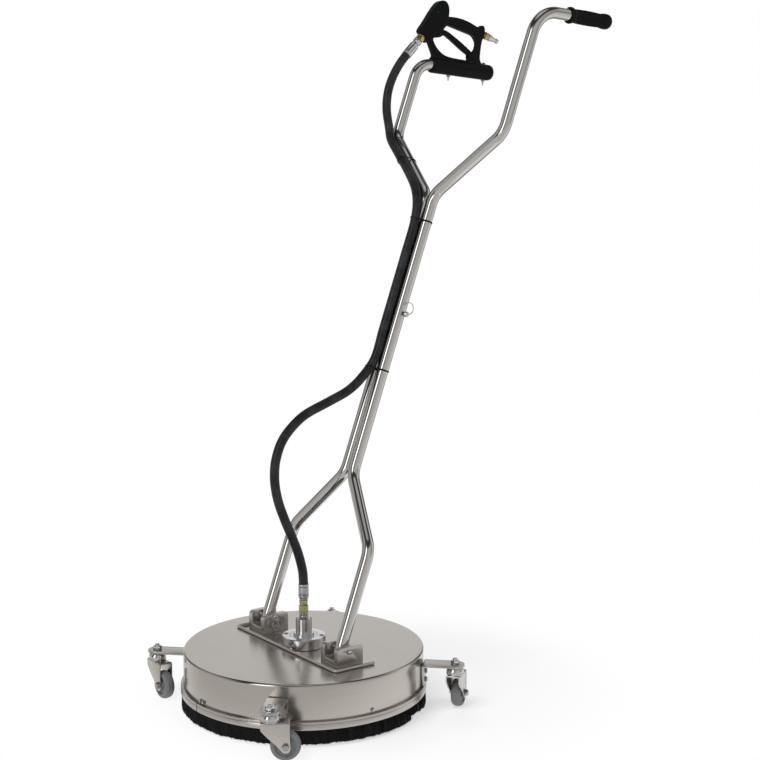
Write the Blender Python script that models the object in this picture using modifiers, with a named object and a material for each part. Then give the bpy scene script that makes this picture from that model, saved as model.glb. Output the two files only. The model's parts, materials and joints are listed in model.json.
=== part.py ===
"""Rotary surface cleaner for a pressure washer, modelled as an assembly of separate parts.

Units are metres and +Z is up. +X runs along the handle's pivot pins and +Y points to the operator,
so the front of the machine faces -Y. "Left" in a name is the -X side. The parts are drawn about
the deck's own axis, and the "machine" empty at the end carries them so that the origin is on the
floor under the middle of the machine's outline.
"""

import math

import bmesh
import bpy
from mathutils import Matrix, Vector

# ----------------------------------------------------------------- shared dimensions
DECK_Y = -0.211946        # the deck's axis from the origin
DECK_R = 0.254            # a 20 inch deck
DECK_TOP = 0.126
GAP = 0.0003              # running gap between neighbouring solids
ON_DECK = DECK_TOP + GAP  # underside of what stands on the deck

# Handle: a flat frame that leans back from two pivots
PIVOT_X, PIVOT_Y, PIVOT_Z = 0.1407, -0.0026, 0.1553
PIN_R = 0.0045
LEAN = math.radians(20.28)
ARM_X = 0.1841            # half the spacing of the two hand positions
TUBE_R = 0.0127           # 1 inch tube

# Distances up the leaning frame from its pivots
UP_ELBOW, UP_JOIN, UP_SEAM, UP_FORK, UP_SHOULDER = 0.2077, 0.3492, 0.7630, 0.9769, 1.1142
UP_GRIP, UP_GUN = 1.3880, 1.2949
UP_PIN = 0.708            # lock pin through the splice

GRIP_LEG, GUN_LEG = 0.1990, 0.2145    # from a top corner to the end of the grip's tube, the sleeve
DROOP = math.radians(3.7)
LEG_DIR = Vector((0, math.cos(DROOP), -math.sin(DROOP)))

ROTOR_Z = 0.0640
STUB_TOP = 0.1885         # top of the swivel housing
FERRULE_LOW, FERRULE_TOP = 0.2225, 0.2535

GUN_X = -ARM_X
TRIGGER_Y, TRIGGER_Z = 0.4980, 1.4370
ROD_Y = 0.5130            # the valve's push rod, above the trigger's heel

SIDES = (("left", -1), ("right", 1))

for thing in list(bpy.data.objects):
    bpy.data.objects.remove(thing, do_unlink=True)

PARTS = bpy.data.collections.new("surface_cleaner")
CUTTERS = bpy.data.collections.new("cutters")
for collection in (PARTS, CUTTERS):
    bpy.context.scene.collection.children.link(collection)


# ----------------------------------------------------------------- materials
def material(name, colour, roughness, metallic):
    made = bpy.data.materials.new(name)
    made.use_nodes = True
    made.diffuse_color = (*colour, 1.0)
    shader = made.node_tree.nodes["Principled BSDF"]
    shader.inputs["Base Color"].default_value = (*colour, 1.0)
    shader.inputs["Roughness"].default_value = roughness
    shader.inputs["Metallic"].default_value = metallic
    return made


def metal(name, colour, roughness):
    return material(name, colour, roughness, metallic=1.0)


def polymer(name, colour, roughness):
    return material(name, colour, roughness, metallic=0.0)


STEEL = metal("brushed_stainless", colour=(0.62, 0.60, 0.57), roughness=0.32)
TUBE_STEEL = metal("polished_stainless", colour=(0.66, 0.65, 0.63), roughness=0.14)
BLOCK_STEEL = metal("machined_stainless", colour=(0.52, 0.50, 0.48), roughness=0.38)
CHROME = metal("chrome_plate", colour=(0.72, 0.72, 0.73), roughness=0.10)
ALLOY = metal("machined_aluminium", colour=(0.70, 0.71, 0.72), roughness=0.28)
ZINC = metal("zinc_plate", colour=(0.68, 0.68, 0.66), roughness=0.40)
BRASS = metal("brass", colour=(0.60, 0.46, 0.18), roughness=0.25)
YELLOW_ZINC = metal("yellow_zinc", colour=(0.52, 0.50, 0.26), roughness=0.30)
BRISTLE = polymer("black_bristle", colour=(0.012, 0.012, 0.012), roughness=0.75)
HOSE_RUBBER = polymer("hose_rubber", colour=(0.016, 0.016, 0.017), roughness=0.55)
GRIP_RUBBER = polymer("grip_rubber", colour=(0.014, 0.014, 0.015), roughness=0.50)
GUN_PLASTIC = polymer("gun_plastic", colour=(0.012, 0.012, 0.013), roughness=0.45)
WHEEL_RUBBER = polymer("grey_rubber", colour=(0.20, 0.20, 0.20), roughness=0.60)


# ----------------------------------------------------------------- objects and parents
def empty(name, at):
    made = bpy.data.objects.new(name, None)
    made.empty_display_size = 0.02
    made.location = at
    PARTS.objects.link(made)
    return made


def hang(obj, parent):
    """Parents a part to the empty that stands on its joint, without moving it."""
    obj.parent = parent
    obj.matrix_parent_inverse = parent.matrix_basis.inverted()


def smooth_shading(mesh):
    mesh.shade_smooth()
    mesh.set_sharp_from_angle(angle=math.radians(35))


def finish(obj, name, mat, parent=None):
    """Names a part, gives it its material and hangs it on its joint, if it has one."""
    obj.name = name
    obj.data.name = name
    obj.data.materials.clear()
    obj.data.materials.append(mat)
    for owner in list(obj.users_collection):
        owner.objects.unlink(obj)
    PARTS.objects.link(obj)
    if obj.type == "MESH":
        smooth_shading(obj.data)
    if parent is not None:
        hang(obj, parent)


# ----------------------------------------------------------------- shape helpers
def work_object(data):
    obj = bpy.data.objects.new("work", data)
    CUTTERS.objects.link(obj)
    return obj


def from_bmesh(shape):
    mesh = bpy.data.meshes.new("work")
    shape.to_mesh(mesh)
    shape.free()
    return work_object(mesh)


def along(axis):
    """A rotation that turns local +Z to the given direction."""
    return Vector(axis).normalized().to_track_quat("Z", "Y").to_matrix().to_4x4()


def box(low, high):
    low, high = Vector(low), Vector(high)
    size, middle = high - low, (high + low) / 2
    place = Matrix.Translation(middle) @ Matrix.Diagonal((*size, 1.0))
    shape = bmesh.new()
    bmesh.ops.create_cube(shape, size=1.0)
    bmesh.ops.transform(shape, matrix=place, verts=shape.verts)
    return from_bmesh(shape)


def rod(radius, start, end, segments=16, radius_end=None, turn=0.0):
    """A cylinder or cone between two points."""
    start, end = Vector(start), Vector(end)
    shape = bmesh.new()
    bmesh.ops.create_cone(
        shape, cap_ends=True, cap_tris=False, segments=segments, radius1=radius,
        radius2=radius if radius_end is None else radius_end, depth=(end - start).length,
    )
    place = Matrix.Translation((start + end) / 2) @ along(end - start)
    place = place @ Matrix.Rotation(turn, 4, "Z")
    bmesh.ops.transform(shape, matrix=place, verts=shape.verts)
    return from_bmesh(shape)


def turned(profile, at=(0, 0, 0), axis=(0, 0, 1), steps=32, turn=0.0):
    """A turned shape from (radius, height) points, closed unless both ends are on the axis."""
    closed = profile[0][0] > 1e-9 or profile[-1][0] > 1e-9
    shape = bmesh.new()
    points = [shape.verts.new((radius, 0.0, z)) for radius, z in profile]
    for first, second in zip(points, points[1:]):
        shape.edges.new((first, second))
    if closed:
        shape.edges.new((points[-1], points[0]))
    obj = from_bmesh(shape)
    screw = obj.modifiers.new("turn", "SCREW")
    screw.axis = "Z"
    screw.angle = 2 * math.pi
    screw.steps = screw.render_steps = steps
    screw.use_merge_vertices = True
    screw.merge_threshold = 1e-6
    screw.use_normal_calculate = False
    obj.matrix_world = Matrix.Translation(Vector(at)) @ along(axis) @ Matrix.Rotation(turn, 4, "Z")
    return obj


def add_polyline(curve, points, closed):
    spline = curve.splines.new("POLY")
    spline.points.add(len(points) - 1)
    for target, point in zip(spline.points, points):
        target.co = (*point, 1.0)
    spline.use_cyclic_u = closed


def wire(points, radius, resolution=4, closed=False):
    """A bar or tube of one radius along a chain of points."""
    curve = bpy.data.curves.new("wire", "CURVE")
    curve.dimensions = "3D"
    curve.twist_mode = "MINIMUM"
    add_polyline(curve, points, closed)
    curve.bevel_depth = radius
    curve.bevel_resolution = resolution
    curve.use_fill_caps = not closed
    return work_object(curve)


def plate(loops, thickness):
    """A flat outline, with holes, of the given thickness, centred on its own XY plane."""
    curve = bpy.data.curves.new("plate", "CURVE")
    curve.dimensions = "2D"
    curve.fill_mode = "BOTH"
    curve.extrude = thickness / 2
    for loop in loops:
        add_polyline(curve, [(x, y, 0.0) for x, y in loop], closed=True)
    return work_object(curve)


def solid(obj):
    """The same shape as a plain welded mesh, in world space."""
    bpy.context.view_layer.update()
    graph = bpy.context.evaluated_depsgraph_get()
    mesh = bpy.data.meshes.new_from_object(obj.evaluated_get(graph))
    mesh.transform(obj.matrix_world)
    shape = bmesh.new()
    shape.from_mesh(mesh)
    bmesh.ops.remove_doubles(shape, verts=shape.verts, dist=1e-6)
    bmesh.ops.recalc_face_normals(shape, faces=shape.faces)
    shape.to_mesh(mesh)
    shape.free()
    bpy.data.objects.remove(obj, do_unlink=True)
    return work_object(mesh)


def combine(base, add=(), cut=()):
    """One solid from a base, what is joined to it and what is cut from it."""
    base = solid(base)
    used = []
    for operation, others in (("UNION", add), ("DIFFERENCE", cut)):
        for other in others:
            other = solid(other)
            boolean = base.modifiers.new(operation.lower(), "BOOLEAN")
            boolean.operation = operation
            boolean.solver = "EXACT"
            boolean.object = other
            used.append(other)
    made = solid(base)
    for other in used:
        bpy.data.objects.remove(other, do_unlink=True)
    return made


def moved(obj, matrix):
    obj.matrix_world = matrix @ obj.matrix_world
    return obj


def standing(outline_plate, x):
    """Turns a flat outline drawn as (Y, Z) so that it stands in the plane of that X."""
    upright = Matrix(((0, 0, 1, 0), (1, 0, 0, 0), (0, 1, 0, 0), (0, 0, 0, 1)))
    return moved(outline_plate, Matrix.Translation((x, 0, 0)) @ upright)


def corner_arc(before, corner, after, radius):
    """The centre of a corner's arc, and the arms from it to the arc's two ends."""
    back, ahead = (before - corner).normalized(), (after - corner).normalized()
    half = back.angle(ahead) / 2
    reach = radius / math.tan(half)
    centre = corner + (back + ahead).normalized() * (radius / math.sin(half))
    return centre, corner + back * reach - centre, corner + ahead * reach - centre


def rounded(corners, radii, steps=4):
    """A closed outline whose corners are rounded, one radius for each; 0 leaves it sharp."""
    corners = [Vector(corner) for corner in corners]
    out = []
    for i, (corner, radius) in enumerate(zip(corners, radii)):
        if radius <= 0:
            out.append(tuple(corner))
            continue
        after = corners[(i + 1) % len(corners)]
        centre, start, end = corner_arc(corners[i - 1], corner, after, radius)
        first = math.atan2(start.y, start.x)
        sweep = math.atan2(start.x * end.y - start.y * end.x, start.dot(end))
        for k in range(steps + 1):
            angle = first + sweep * k / steps
            out.append((centre.x + radius * math.cos(angle), centre.y + radius * math.sin(angle)))
    return out


def bent(points, radii, steps=4):
    """A chain of points whose inner corners are arcs, of one radius or of one each."""
    points = [Vector(point) for point in points]
    radii = radii if isinstance(radii, list) else [radii] * (len(points) - 2)
    out = [points[0]]
    for before, corner, after, radius in zip(points, points[1:], points[2:], radii):
        centre, start, end = corner_arc(before, corner, after, radius)
        total = start.angle(end)
        for k in range(steps + 1):
            part = k / steps
            arm = start * math.sin((1 - part) * total) + end * math.sin(part * total)
            out.append(centre + arm / math.sin(total))
    out.append(points[-1])
    return out


def smooth_path(points, per_span=2):
    """A Catmull-Rom chain through the given points."""
    points = [Vector(point) for point in points]
    ends = [points[0] * 2 - points[1]] + points + [points[-1] * 2 - points[-2]]
    out = []
    for before, start, end, after in zip(ends, ends[1:], ends[2:], ends[3:]):
        for k in range(per_span):
            part = k / per_span
            out.append(0.5 * (
                2 * start + (end - before) * part
                + (2 * before - 5 * start + 4 * end - after) * part * part
                + (3 * start - before - 3 * end + after) * part ** 3
            ))
    return out + [points[-1]]


def polar(radius, angle):
    return radius * math.cos(angle), radius * math.sin(angle)


def frame_point(x, up, front=0.0):
    """A point of the handle: x across, up the leaning frame from its pivots, front of its plane."""
    return Vector((
        x,
        PIVOT_Y + math.sin(LEAN) * up - math.cos(LEAN) * front,
        PIVOT_Z + math.cos(LEAN) * up + math.sin(LEAN) * front,
    ))


# ----------------------------------------------------------------- joint empties
AT_HANDLE = empty("axis_handle_tilt", (0, PIVOT_Y, PIVOT_Z))
AT_ROTOR = empty("axis_rotor_spin", (0, 0, ROTOR_Z))
AT_TRIGGER = empty("axis_trigger_pull", (GUN_X, TRIGGER_Y, TRIGGER_Z))
AT_ROD = empty("axis_valve_rod", (GUN_X, ROD_Y, TRIGGER_Z))
AT_SPLICE = empty("axis_splice_pin", frame_point(0, UP_PIN))

# ----------------------------------------------------------------- deck
SHEET = 0.002             # deck sheet thickness
DECK_BOTTOM = 0.0372
DECK_BORE = 0.0215
RIM_R = 0.005             # rolled edge between the top and the wall
DECK_STEPS = 44


def rim_arc(radius, degrees):
    """Points of the rolled edge, at angles measured outwards from straight up."""
    return [
        (DECK_R - RIM_R + radius * math.sin(angle), DECK_TOP - RIM_R + radius * math.cos(angle))
        for angle in map(math.radians, degrees)
    ]


deck_profile = (
    [(DECK_BORE, DECK_TOP)] + rim_arc(RIM_R, (0, 45, 90))
    + [(DECK_R, DECK_BOTTOM), (DECK_R - SHEET, DECK_BOTTOM)]
    + rim_arc(RIM_R - SHEET, (90, 0)) + [(DECK_BORE, DECK_TOP - SHEET)]
)
finish(turned(deck_profile, steps=DECK_STEPS), "deck_pan", STEEL)

# Clamp band around the foot of the wall, lipped over the brush and slit at the front
BAND_R, BAND_TOP, BAND_BOTTOM = 0.2605, 0.0527, 0.0354
BRUSH_R, BRUSH_IN, BRUSH_TIP = 0.2582, 0.2545, 0.005
LIP = 0.0012
band_bore = BRUSH_R + 0.0006
lip_z = BAND_TOP - LIP
band = combine(
    turned(
        [
            (BRUSH_IN, BAND_TOP), (BAND_R - 0.0008, BAND_TOP), (BAND_R, BAND_TOP - 0.0012),
            (BAND_R, BAND_BOTTOM), (band_bore, BAND_BOTTOM), (band_bore, lip_z), (BRUSH_IN, lip_z),
        ],
        steps=DECK_STEPS,
    ),
    cut=[box((-0.0012, -0.270, 0.030), (0.0012, -0.245, 0.060))],
)
finish(band, "skirt_band", STEEL)

brush_profile = [
    (BRUSH_IN, lip_z - GAP), (BRUSH_R, lip_z - GAP), (BRUSH_R, BAND_BOTTOM),
    (BRUSH_R + 0.0005, BRUSH_TIP), (BRUSH_IN - 0.0020, BRUSH_TIP), (BRUSH_IN, BAND_BOTTOM),
]
finish(turned(brush_profile, steps=DECK_STEPS), "brush_skirt", BRISTLE)

# Bar lying on the deck: a run across the front, with its ends turned back
BAR_R = 0.003
BAR_X = 0.190
BAR_FRONT, BAR_BACK = -0.0505, 0.044
bar_corners = [
    (x, y, ON_DECK + BAR_R)
    for x, y in ((-BAR_X, BAR_BACK), (-BAR_X, BAR_FRONT), (BAR_X, BAR_FRONT), (BAR_X, BAR_BACK))
]
finish(wire(bent(bar_corners, 0.007, steps=3), BAR_R, 2), "stiffener_rod", STEEL)

# ----------------------------------------------------------------- pivot brackets, pins, rings
BLOCK_HALF, BLOCK_H = 0.031, 0.0400
BLOCK_BASE = 0.0127       # solid floor under the slot
CHEEK_T = 0.014
EYE_OUT = 0.0067          # cross hole and ring, from the block's inner face
PIN_HEAD_R, EYE_R = 0.0085, 0.0023
RING_R, RING_WIRE = 0.0115, 0.0012


def pivot_rod(radius, x_from, x_to, segments=16):
    """A rod on the handle's tilt axis."""
    return rod(radius, (x_from, PIVOT_Y, PIVOT_Z), (x_to, PIVOT_Y, PIVOT_Z), segments)


def pivot_bracket(middle_x):
    """A block with rounded upper edges, slotted for the tube and bored for the pin."""
    top = ON_DECK + BLOCK_H
    ear = rounded(
        [(-BLOCK_HALF, ON_DECK), (BLOCK_HALF, ON_DECK), (BLOCK_HALF, top), (-BLOCK_HALF, top)],
        [0.0, 0.0, 0.007, 0.007],
    )
    slot = box(
        (middle_x - BLOCK_HALF + CHEEK_T, -0.04, ON_DECK + BLOCK_BASE),
        (middle_x + BLOCK_HALF - CHEEK_T, 0.04, ON_DECK + 0.06),
    )
    return combine(
        standing(plate([ear], 2 * BLOCK_HALF), middle_x),
        cut=[slot, pivot_rod(PIN_R + GAP, middle_x - 0.04, middle_x + 0.04)],
    )


def pivot_pin(sign):
    """A pin with a round head at the block's inner face and a cross hole beyond it."""
    inner, outer = sign * (PIVOT_X - BLOCK_HALF), sign * (PIVOT_X + BLOCK_HALF)
    eye_x = inner - sign * EYE_OUT
    eye_ends = [(eye_x, PIVOT_Y + y, PIVOT_Z) for y in (-0.01, 0.01)]
    return combine(
        pivot_rod(PIN_R, inner - sign * 0.0100, outer + sign * 0.0030),
        add=[pivot_rod(PIN_HEAD_R, inner - sign * 0.0005, inner - sign * 0.0035, 20)],
        cut=[rod(EYE_R, *eye_ends, 10)],
    )


def pivot_ring(sign, steps=20):
    """A wire ring hanging from the pin's cross hole."""
    ring_x = sign * (PIVOT_X - BLOCK_HALF) - sign * EYE_OUT
    points = []
    for k in range(steps):
        z, y = polar(RING_R, 2 * math.pi * k / steps)
        points.append((ring_x, PIVOT_Y + y, PIVOT_Z - RING_R + z))
    return wire(points, RING_WIRE, 0, closed=True)


for side, sign in SIDES:
    at_pin = empty(f"axis_pivot_pin_{side}", (sign * PIVOT_X, PIVOT_Y, PIVOT_Z))
    finish(pivot_bracket(sign * PIVOT_X), f"pivot_bracket_{side}", BLOCK_STEEL)
    finish(pivot_pin(sign), f"pivot_pin_{side}", CHROME, at_pin)
    finish(pivot_ring(sign), f"pivot_ring_{side}", CHROME, at_pin)

# ----------------------------------------------------------------- handle tubes
PAIR_X = 0.0129           # half the spacing of the two tubes where they run together
TUBE_BORE = 0.0109
LOWER_BEND_R = 0.055
BEND_R = 0.045
GRIP_BEND_R = 0.068       # the wider bend below the plain grip
SPIGOT_R, SPIGOT_BORE = 0.0105, 0.0087
SPLICE_PIN_R = 0.0040


def splice_hole(sign, turn=0.0):
    ends = [frame_point(sign * PAIR_X + x, UP_PIN) for x in (-0.02, 0.02)]
    return rod(SPLICE_PIN_R + GAP, *ends, 12, turn=turn)


def lower_tube(sign):
    """From the pivot, in at the elbow, and up beside its twin to the seam."""
    pivot_x, pair_x = sign * PIVOT_X, sign * PAIR_X
    bends = [frame_point(pivot_x, UP_ELBOW), frame_point(pair_x, UP_JOIN)]
    outer = [frame_point(pivot_x, -0.009)] + bends + [frame_point(pair_x, UP_SEAM)]
    bore = [frame_point(pivot_x, -0.03)] + bends + [frame_point(pair_x, UP_SEAM + 0.02)]
    return combine(
        wire(bent(outer, LOWER_BEND_R), TUBE_R),
        cut=[
            wire(bent(bore, LOWER_BEND_R), TUBE_BORE),
            pivot_rod(PIN_R + GAP, pivot_x - 0.02, pivot_x + 0.02),
            splice_hole(sign),
        ],
    )


def upper_tube(sign, up_corner, leg, top_bend):
    """From the seam out to one hand position, with a spigot that fits in the lower tube."""
    pair_x = sign * PAIR_X
    radii = [BEND_R, BEND_R, top_bend]
    corner = frame_point(sign * ARM_X, up_corner)
    bends = [frame_point(pair_x, UP_FORK), frame_point(sign * ARM_X, UP_SHOULDER), corner]
    outer = [frame_point(pair_x, UP_SEAM + 0.0005)] + bends + [corner + LEG_DIR * leg]
    bore = [frame_point(pair_x, UP_SEAM + 0.045)] + bends + [corner + LEG_DIR * (leg + 0.02)]
    spigot = [frame_point(pair_x, UP_SEAM + up) for up in (-0.080, 0.040)]
    spigot_bore = [frame_point(pair_x, UP_SEAM + up) for up in (-0.10, 0.060)]
    tube = combine(
        wire(bent(outer, radii), TUBE_R),
        add=[wire(spigot, SPIGOT_R)],
        cut=[wire(bent(bore, radii), TUBE_BORE, 2), wire(spigot_bore, SPIGOT_BORE, 2)],
    )
    return combine(tube, cut=[splice_hole(sign, turn=0.1)])


for side, sign in SIDES:
    finish(lower_tube(sign), f"lower_tube_{side}", TUBE_STEEL, AT_HANDLE)
gun_tube = upper_tube(-1, UP_GUN, GUN_LEG - 0.0060, BEND_R)
finish(gun_tube, "upper_tube_left", TUBE_STEEL, AT_HANDLE)
grip_tube = upper_tube(1, UP_GRIP, GRIP_LEG, GRIP_BEND_R)
finish(grip_tube, "upper_tube_right", TUBE_STEEL, AT_HANDLE)

# Lock pin through the splice, with its head and wire bail at the +X end
BAIL_X, BAIL_R, BAIL_WIRE = 0.0395, 0.0130, 0.0011
BAIL_STEPS = 16
bail = []
for k in range(BAIL_STEPS):
    up, front = polar(BAIL_R, 2 * math.pi * k / BAIL_STEPS)
    bail.append(frame_point(BAIL_X, UP_PIN + BAIL_R + up, front))
splice_pin = combine(
    rod(SPLICE_PIN_R, frame_point(-0.0300, UP_PIN), frame_point(0.0400, UP_PIN), 12),
    add=[
        rod(0.0060, frame_point(0.0262, UP_PIN), frame_point(0.0415, UP_PIN), 16),
        wire(bail, BAIL_WIRE, 1, closed=True),
    ],
)
finish(splice_pin, "splice_pin", CHROME, AT_SPLICE)

# Rubber handlebar grip, closed at its end: (radius, distance along the leg from its base)
GRIP_LEN = 0.1205
GRIP_END_T = 0.0040
grip_profile = [
    (0.0, GRIP_LEN), (0.0115, GRIP_LEN), (0.0155, GRIP_LEN - 0.003), (0.0166, GRIP_LEN - 0.009),
    (0.0164, GRIP_LEN - 0.020), (0.0148, GRIP_LEN - 0.028), (0.0156, 0.0560), (0.0146, 0.0170),
    (0.0158, 0.0095), (0.0172, 0.0050), (0.0168, 0.0), (TUBE_R + GAP, 0.0),
    (TUBE_R + GAP, GRIP_LEN - GRIP_END_T), (0.0, GRIP_LEN - GRIP_END_T),
]
grip_base = frame_point(ARM_X, UP_GRIP) + LEG_DIR * 0.0850
grip = turned(grip_profile, at=grip_base, axis=LEG_DIR, steps=16)
finish(grip, "handlebar_grip", GRIP_RUBBER, AT_HANDLE)

# ----------------------------------------------------------------- trigger gun
GUN_HALF = 0.0135         # half the thickness of the gun's head
BOW_HALF = 0.0080         # half the thickness of its bow
SEAM_HALF = 0.00015       # half the gap between the two shells
SLEEVE_R, SLEEVE_TAPER = 0.0185, 0.004
TRIGGER_HALF, TRIGGER_SLOT = 0.0045, 0.0106
TRIGGER_PIN_R = 0.0025
VALVE_LOW, VALVE_TOP, VALVE_R = 1.4620, 1.5020, 0.0085

# The two threaded fittings: place and direction, then shank radius, depth and outer length
OUTLET_DIR = Vector((0.0, -0.707, -0.707)).normalized()
OUTLET_AT = Vector((GUN_X, 0.4545, 1.4297))
OUTLET_R, OUTLET_DEPTH, OUTLET_LEN = 0.0070, 0.0200, 0.0220
INLET_DIR = Vector((0.0, 0.955, -0.297)).normalized()
INLET_AT = Vector((GUN_X, 0.6392, 1.4436))
INLET_R, INLET_DEPTH, INLET_LEN = 0.0065, 0.0300, 0.0140

# Outlines of the gun, as (Y, Z)
HEAD = [
    (0.4483, 1.4360), (0.4436, 1.4422), (0.4602, 1.4617), (0.4768, 1.4843), (0.4897, 1.5002),
    (0.4990, 1.5094), (0.5089, 1.5140), (0.5190, 1.5125), (0.5250, 1.5060), (0.5278, 1.4981),
    (0.5287, 1.4911), (0.5272, 1.4795), (0.5262, 1.4640), (0.5190, 1.4560), (0.5120, 1.4500),
    (0.5065, 1.4440), (0.5040, 1.4350), (0.4970, 1.4300), (0.4835, 1.4295), (0.4700, 1.4150),
    (0.4640, 1.4170), (0.4590, 1.4240),
]
BOW = [
    (0.4950, 1.3620), (0.4800, 1.3705), (0.4858, 1.3830), (0.4852, 1.3910), (0.4767, 1.4078),
    (0.4715, 1.4195), (0.4700, 1.4400), (0.4900, 1.4750), (0.5230, 1.4785), (0.5423, 1.4781),
    (0.5547, 1.4779), (0.5739, 1.4750), (0.5933, 1.4697), (0.6089, 1.4634), (0.6207, 1.4585),
    (0.6285, 1.4632), (0.6353, 1.4640), (0.6378, 1.4600), (0.6397, 1.4521), (0.6397, 1.4433),
    (0.6340, 1.4342), (0.6304, 1.4281), (0.6273, 1.4118), (0.6246, 1.3926), (0.6250, 1.3823),
    (0.6310, 1.3745), (0.6310, 1.3600),
]
OPENING = [
    (0.5262, 1.4597), (0.5550, 1.4521), (0.5936, 1.4425), (0.6020, 1.4405), (0.6085, 1.4360),
    (0.6143, 1.4270), (0.6162, 1.4197), (0.6128, 1.4092), (0.6085, 1.4035), (0.5960, 1.3995),
    (0.5890, 1.3935), (0.5930, 1.3808), (0.5750, 1.3826), (0.5557, 1.3840), (0.5365, 1.3862),
    (0.5186, 1.3895), (0.5034, 1.3980), (0.4902, 1.4110), (0.4835, 1.4228), (0.4840, 1.4285),
    (0.5000, 1.4285), (0.5090, 1.4380), (0.5140, 1.4480), (0.5220, 1.4560),
]
HEEL_SLOT = [(0.4865, 1.4250), (0.5330, 1.4250), (0.5330, 1.4530), (0.4865, 1.4530)]
TIP_SLOT = [
    (0.5800, 1.3875), (0.6052, 1.3875), (0.6125, 1.4120), (0.6000, 1.4180), (0.5800, 1.4150),
]
TRIGGER = [
    (0.5120, 1.4485), (0.5270, 1.4465), (0.5640, 1.4255), (0.5860, 1.4118), (0.6000, 1.4020),
    (0.6030, 1.3960), (0.5985, 1.3910), (0.5870, 1.3950), (0.5640, 1.4085), (0.5270, 1.4325),
    (0.5170, 1.4365), (0.5080, 1.4310), (0.5010, 1.4293), (0.4940, 1.4302), (0.4900, 1.4340),
    (0.4895, 1.4395), (0.4930, 1.4440), (0.5010, 1.4470),
]


def gun_plate(loops, thickness):
    return standing(plate(loops, thickness), GUN_X)


def trigger_rod(radius, reach):
    """A rod on the trigger's axis that reaches as far to either side."""
    ends = [(GUN_X + x, TRIGGER_Y, TRIGGER_Z) for x in (-reach, reach)]
    return rod(radius, *ends, 12)


def trigger_hole():
    return trigger_rod(TRIGGER_PIN_R + GAP, 0.02)


def valve_bore(radius, low, high, segments):
    return rod(radius, (GUN_X, ROD_Y, low), (GUN_X, ROD_Y, high), segments)


def shank_bore(at, direction, radius, depth):
    return rod(radius + GAP, at + direction * 0.03, at - direction * (depth + 0.0005))


def gun_body():
    """Head, bow and the sleeve around the tube, hollowed for what they hold."""
    corner = frame_point(GUN_X, UP_GUN)
    sleeve_from, sleeve_to = corner + LEG_DIR * 0.0360, corner + LEG_DIR * GUN_LEG
    taper_at = sleeve_to - LEG_DIR * SLEEVE_TAPER
    body = combine(
        gun_plate([BOW, OPENING], 2 * BOW_HALF),
        add=[
            gun_plate([HEAD], 2 * GUN_HALF),
            rod(SLEEVE_R, sleeve_from, taper_at, 24),
            rod(SLEEVE_R, taper_at, sleeve_to, 24, radius_end=SLEEVE_R - SLEEVE_TAPER),
        ],
    )
    return combine(
        body,
        cut=[
            rod(TUBE_R + GAP, corner + LEG_DIR * 0.020, corner + LEG_DIR * (GUN_LEG - 0.0046)),
            valve_bore(VALVE_R + GAP, VALVE_LOW - GAP, VALVE_TOP + GAP, 16),
            valve_bore(0.0032, 1.4500, VALVE_LOW + 0.002, 12),
            gun_plate([HEEL_SLOT], TRIGGER_SLOT),
            gun_plate([TIP_SLOT], TRIGGER_SLOT),
            trigger_hole(),
            shank_bore(OUTLET_AT, OUTLET_DIR, OUTLET_R, OUTLET_DEPTH),
            shank_bore(INLET_AT, INLET_DIR, INLET_R, INLET_DEPTH),
        ],
    )


for side, sign in SIDES:
    # Each shell is the body less the other side of the seam
    low_x, high_x = sorted((GUN_X + sign * SEAM_HALF, GUN_X - sign * 0.06))
    waste = box((low_x, 0.3, 1.2), (high_x, 0.8, 1.6))
    finish(combine(gun_body(), cut=[waste]), f"gun_shell_{side}", GUN_PLASTIC, AT_HANDLE)

trigger = combine(gun_plate([TRIGGER], 2 * TRIGGER_HALF), cut=[trigger_hole()])
finish(trigger, "trigger", GUN_PLASTIC, AT_TRIGGER)
finish(trigger_rod(TRIGGER_PIN_R, 0.0130), "trigger_pin", CHROME, AT_HANDLE)

# Valve: a cup open below, a headed push rod and a spring, as (radius, Z)
VALVE_WALL = 0.003        # thickness of the two ends
valve_profile = [
    (0.0, VALVE_TOP), (VALVE_R, VALVE_TOP), (VALVE_R, VALVE_LOW), (0.0029, VALVE_LOW),
    (0.0029, VALVE_LOW + VALVE_WALL), (0.0062, VALVE_LOW + VALVE_WALL),
    (0.0062, VALVE_TOP - VALVE_WALL), (0.0, VALVE_TOP - VALVE_WALL),
]
push_profile = [
    (0.0, 1.4770), (0.0054, 1.4770), (0.0054, 1.4740), (0.0025, 1.4740), (0.0025, 1.4488),
    (0.0, 1.4488),
]
finish(turned(valve_profile, at=(GUN_X, ROD_Y, 0), steps=16), "valve_body", BRASS, AT_HANDLE)
finish(turned(push_profile, at=(GUN_X, ROD_Y, 0), steps=12), "valve_rod", CHROME, AT_ROD)

SPRING_LOW, SPRING_TOP = 1.4782, 1.4978
SPRING_R, SPRING_WIRE = 0.0042, 0.0006
SPRING_TURNS, SPRING_STEPS = 4, 40
coil = []
for k in range(SPRING_STEPS + 1):
    part = k / SPRING_STEPS
    x, y = polar(SPRING_R, 2 * math.pi * part * SPRING_TURNS)
    coil.append((GUN_X + x, ROD_Y + y, SPRING_LOW + (SPRING_TOP - SPRING_LOW) * part))
finish(wire(coil, SPRING_WIRE, 0), "valve_spring", CHROME, AT_HANDLE)


def gun_fitting(at, direction, radius, depth, length, hex_r, hex_end):
    """A round shank with a hexagon outside the gun."""
    return combine(
        rod(radius, at - direction * depth, at + direction * length),
        add=[rod(hex_r, at + direction * 0.0040, at + direction * hex_end, 6)],
    )


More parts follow.
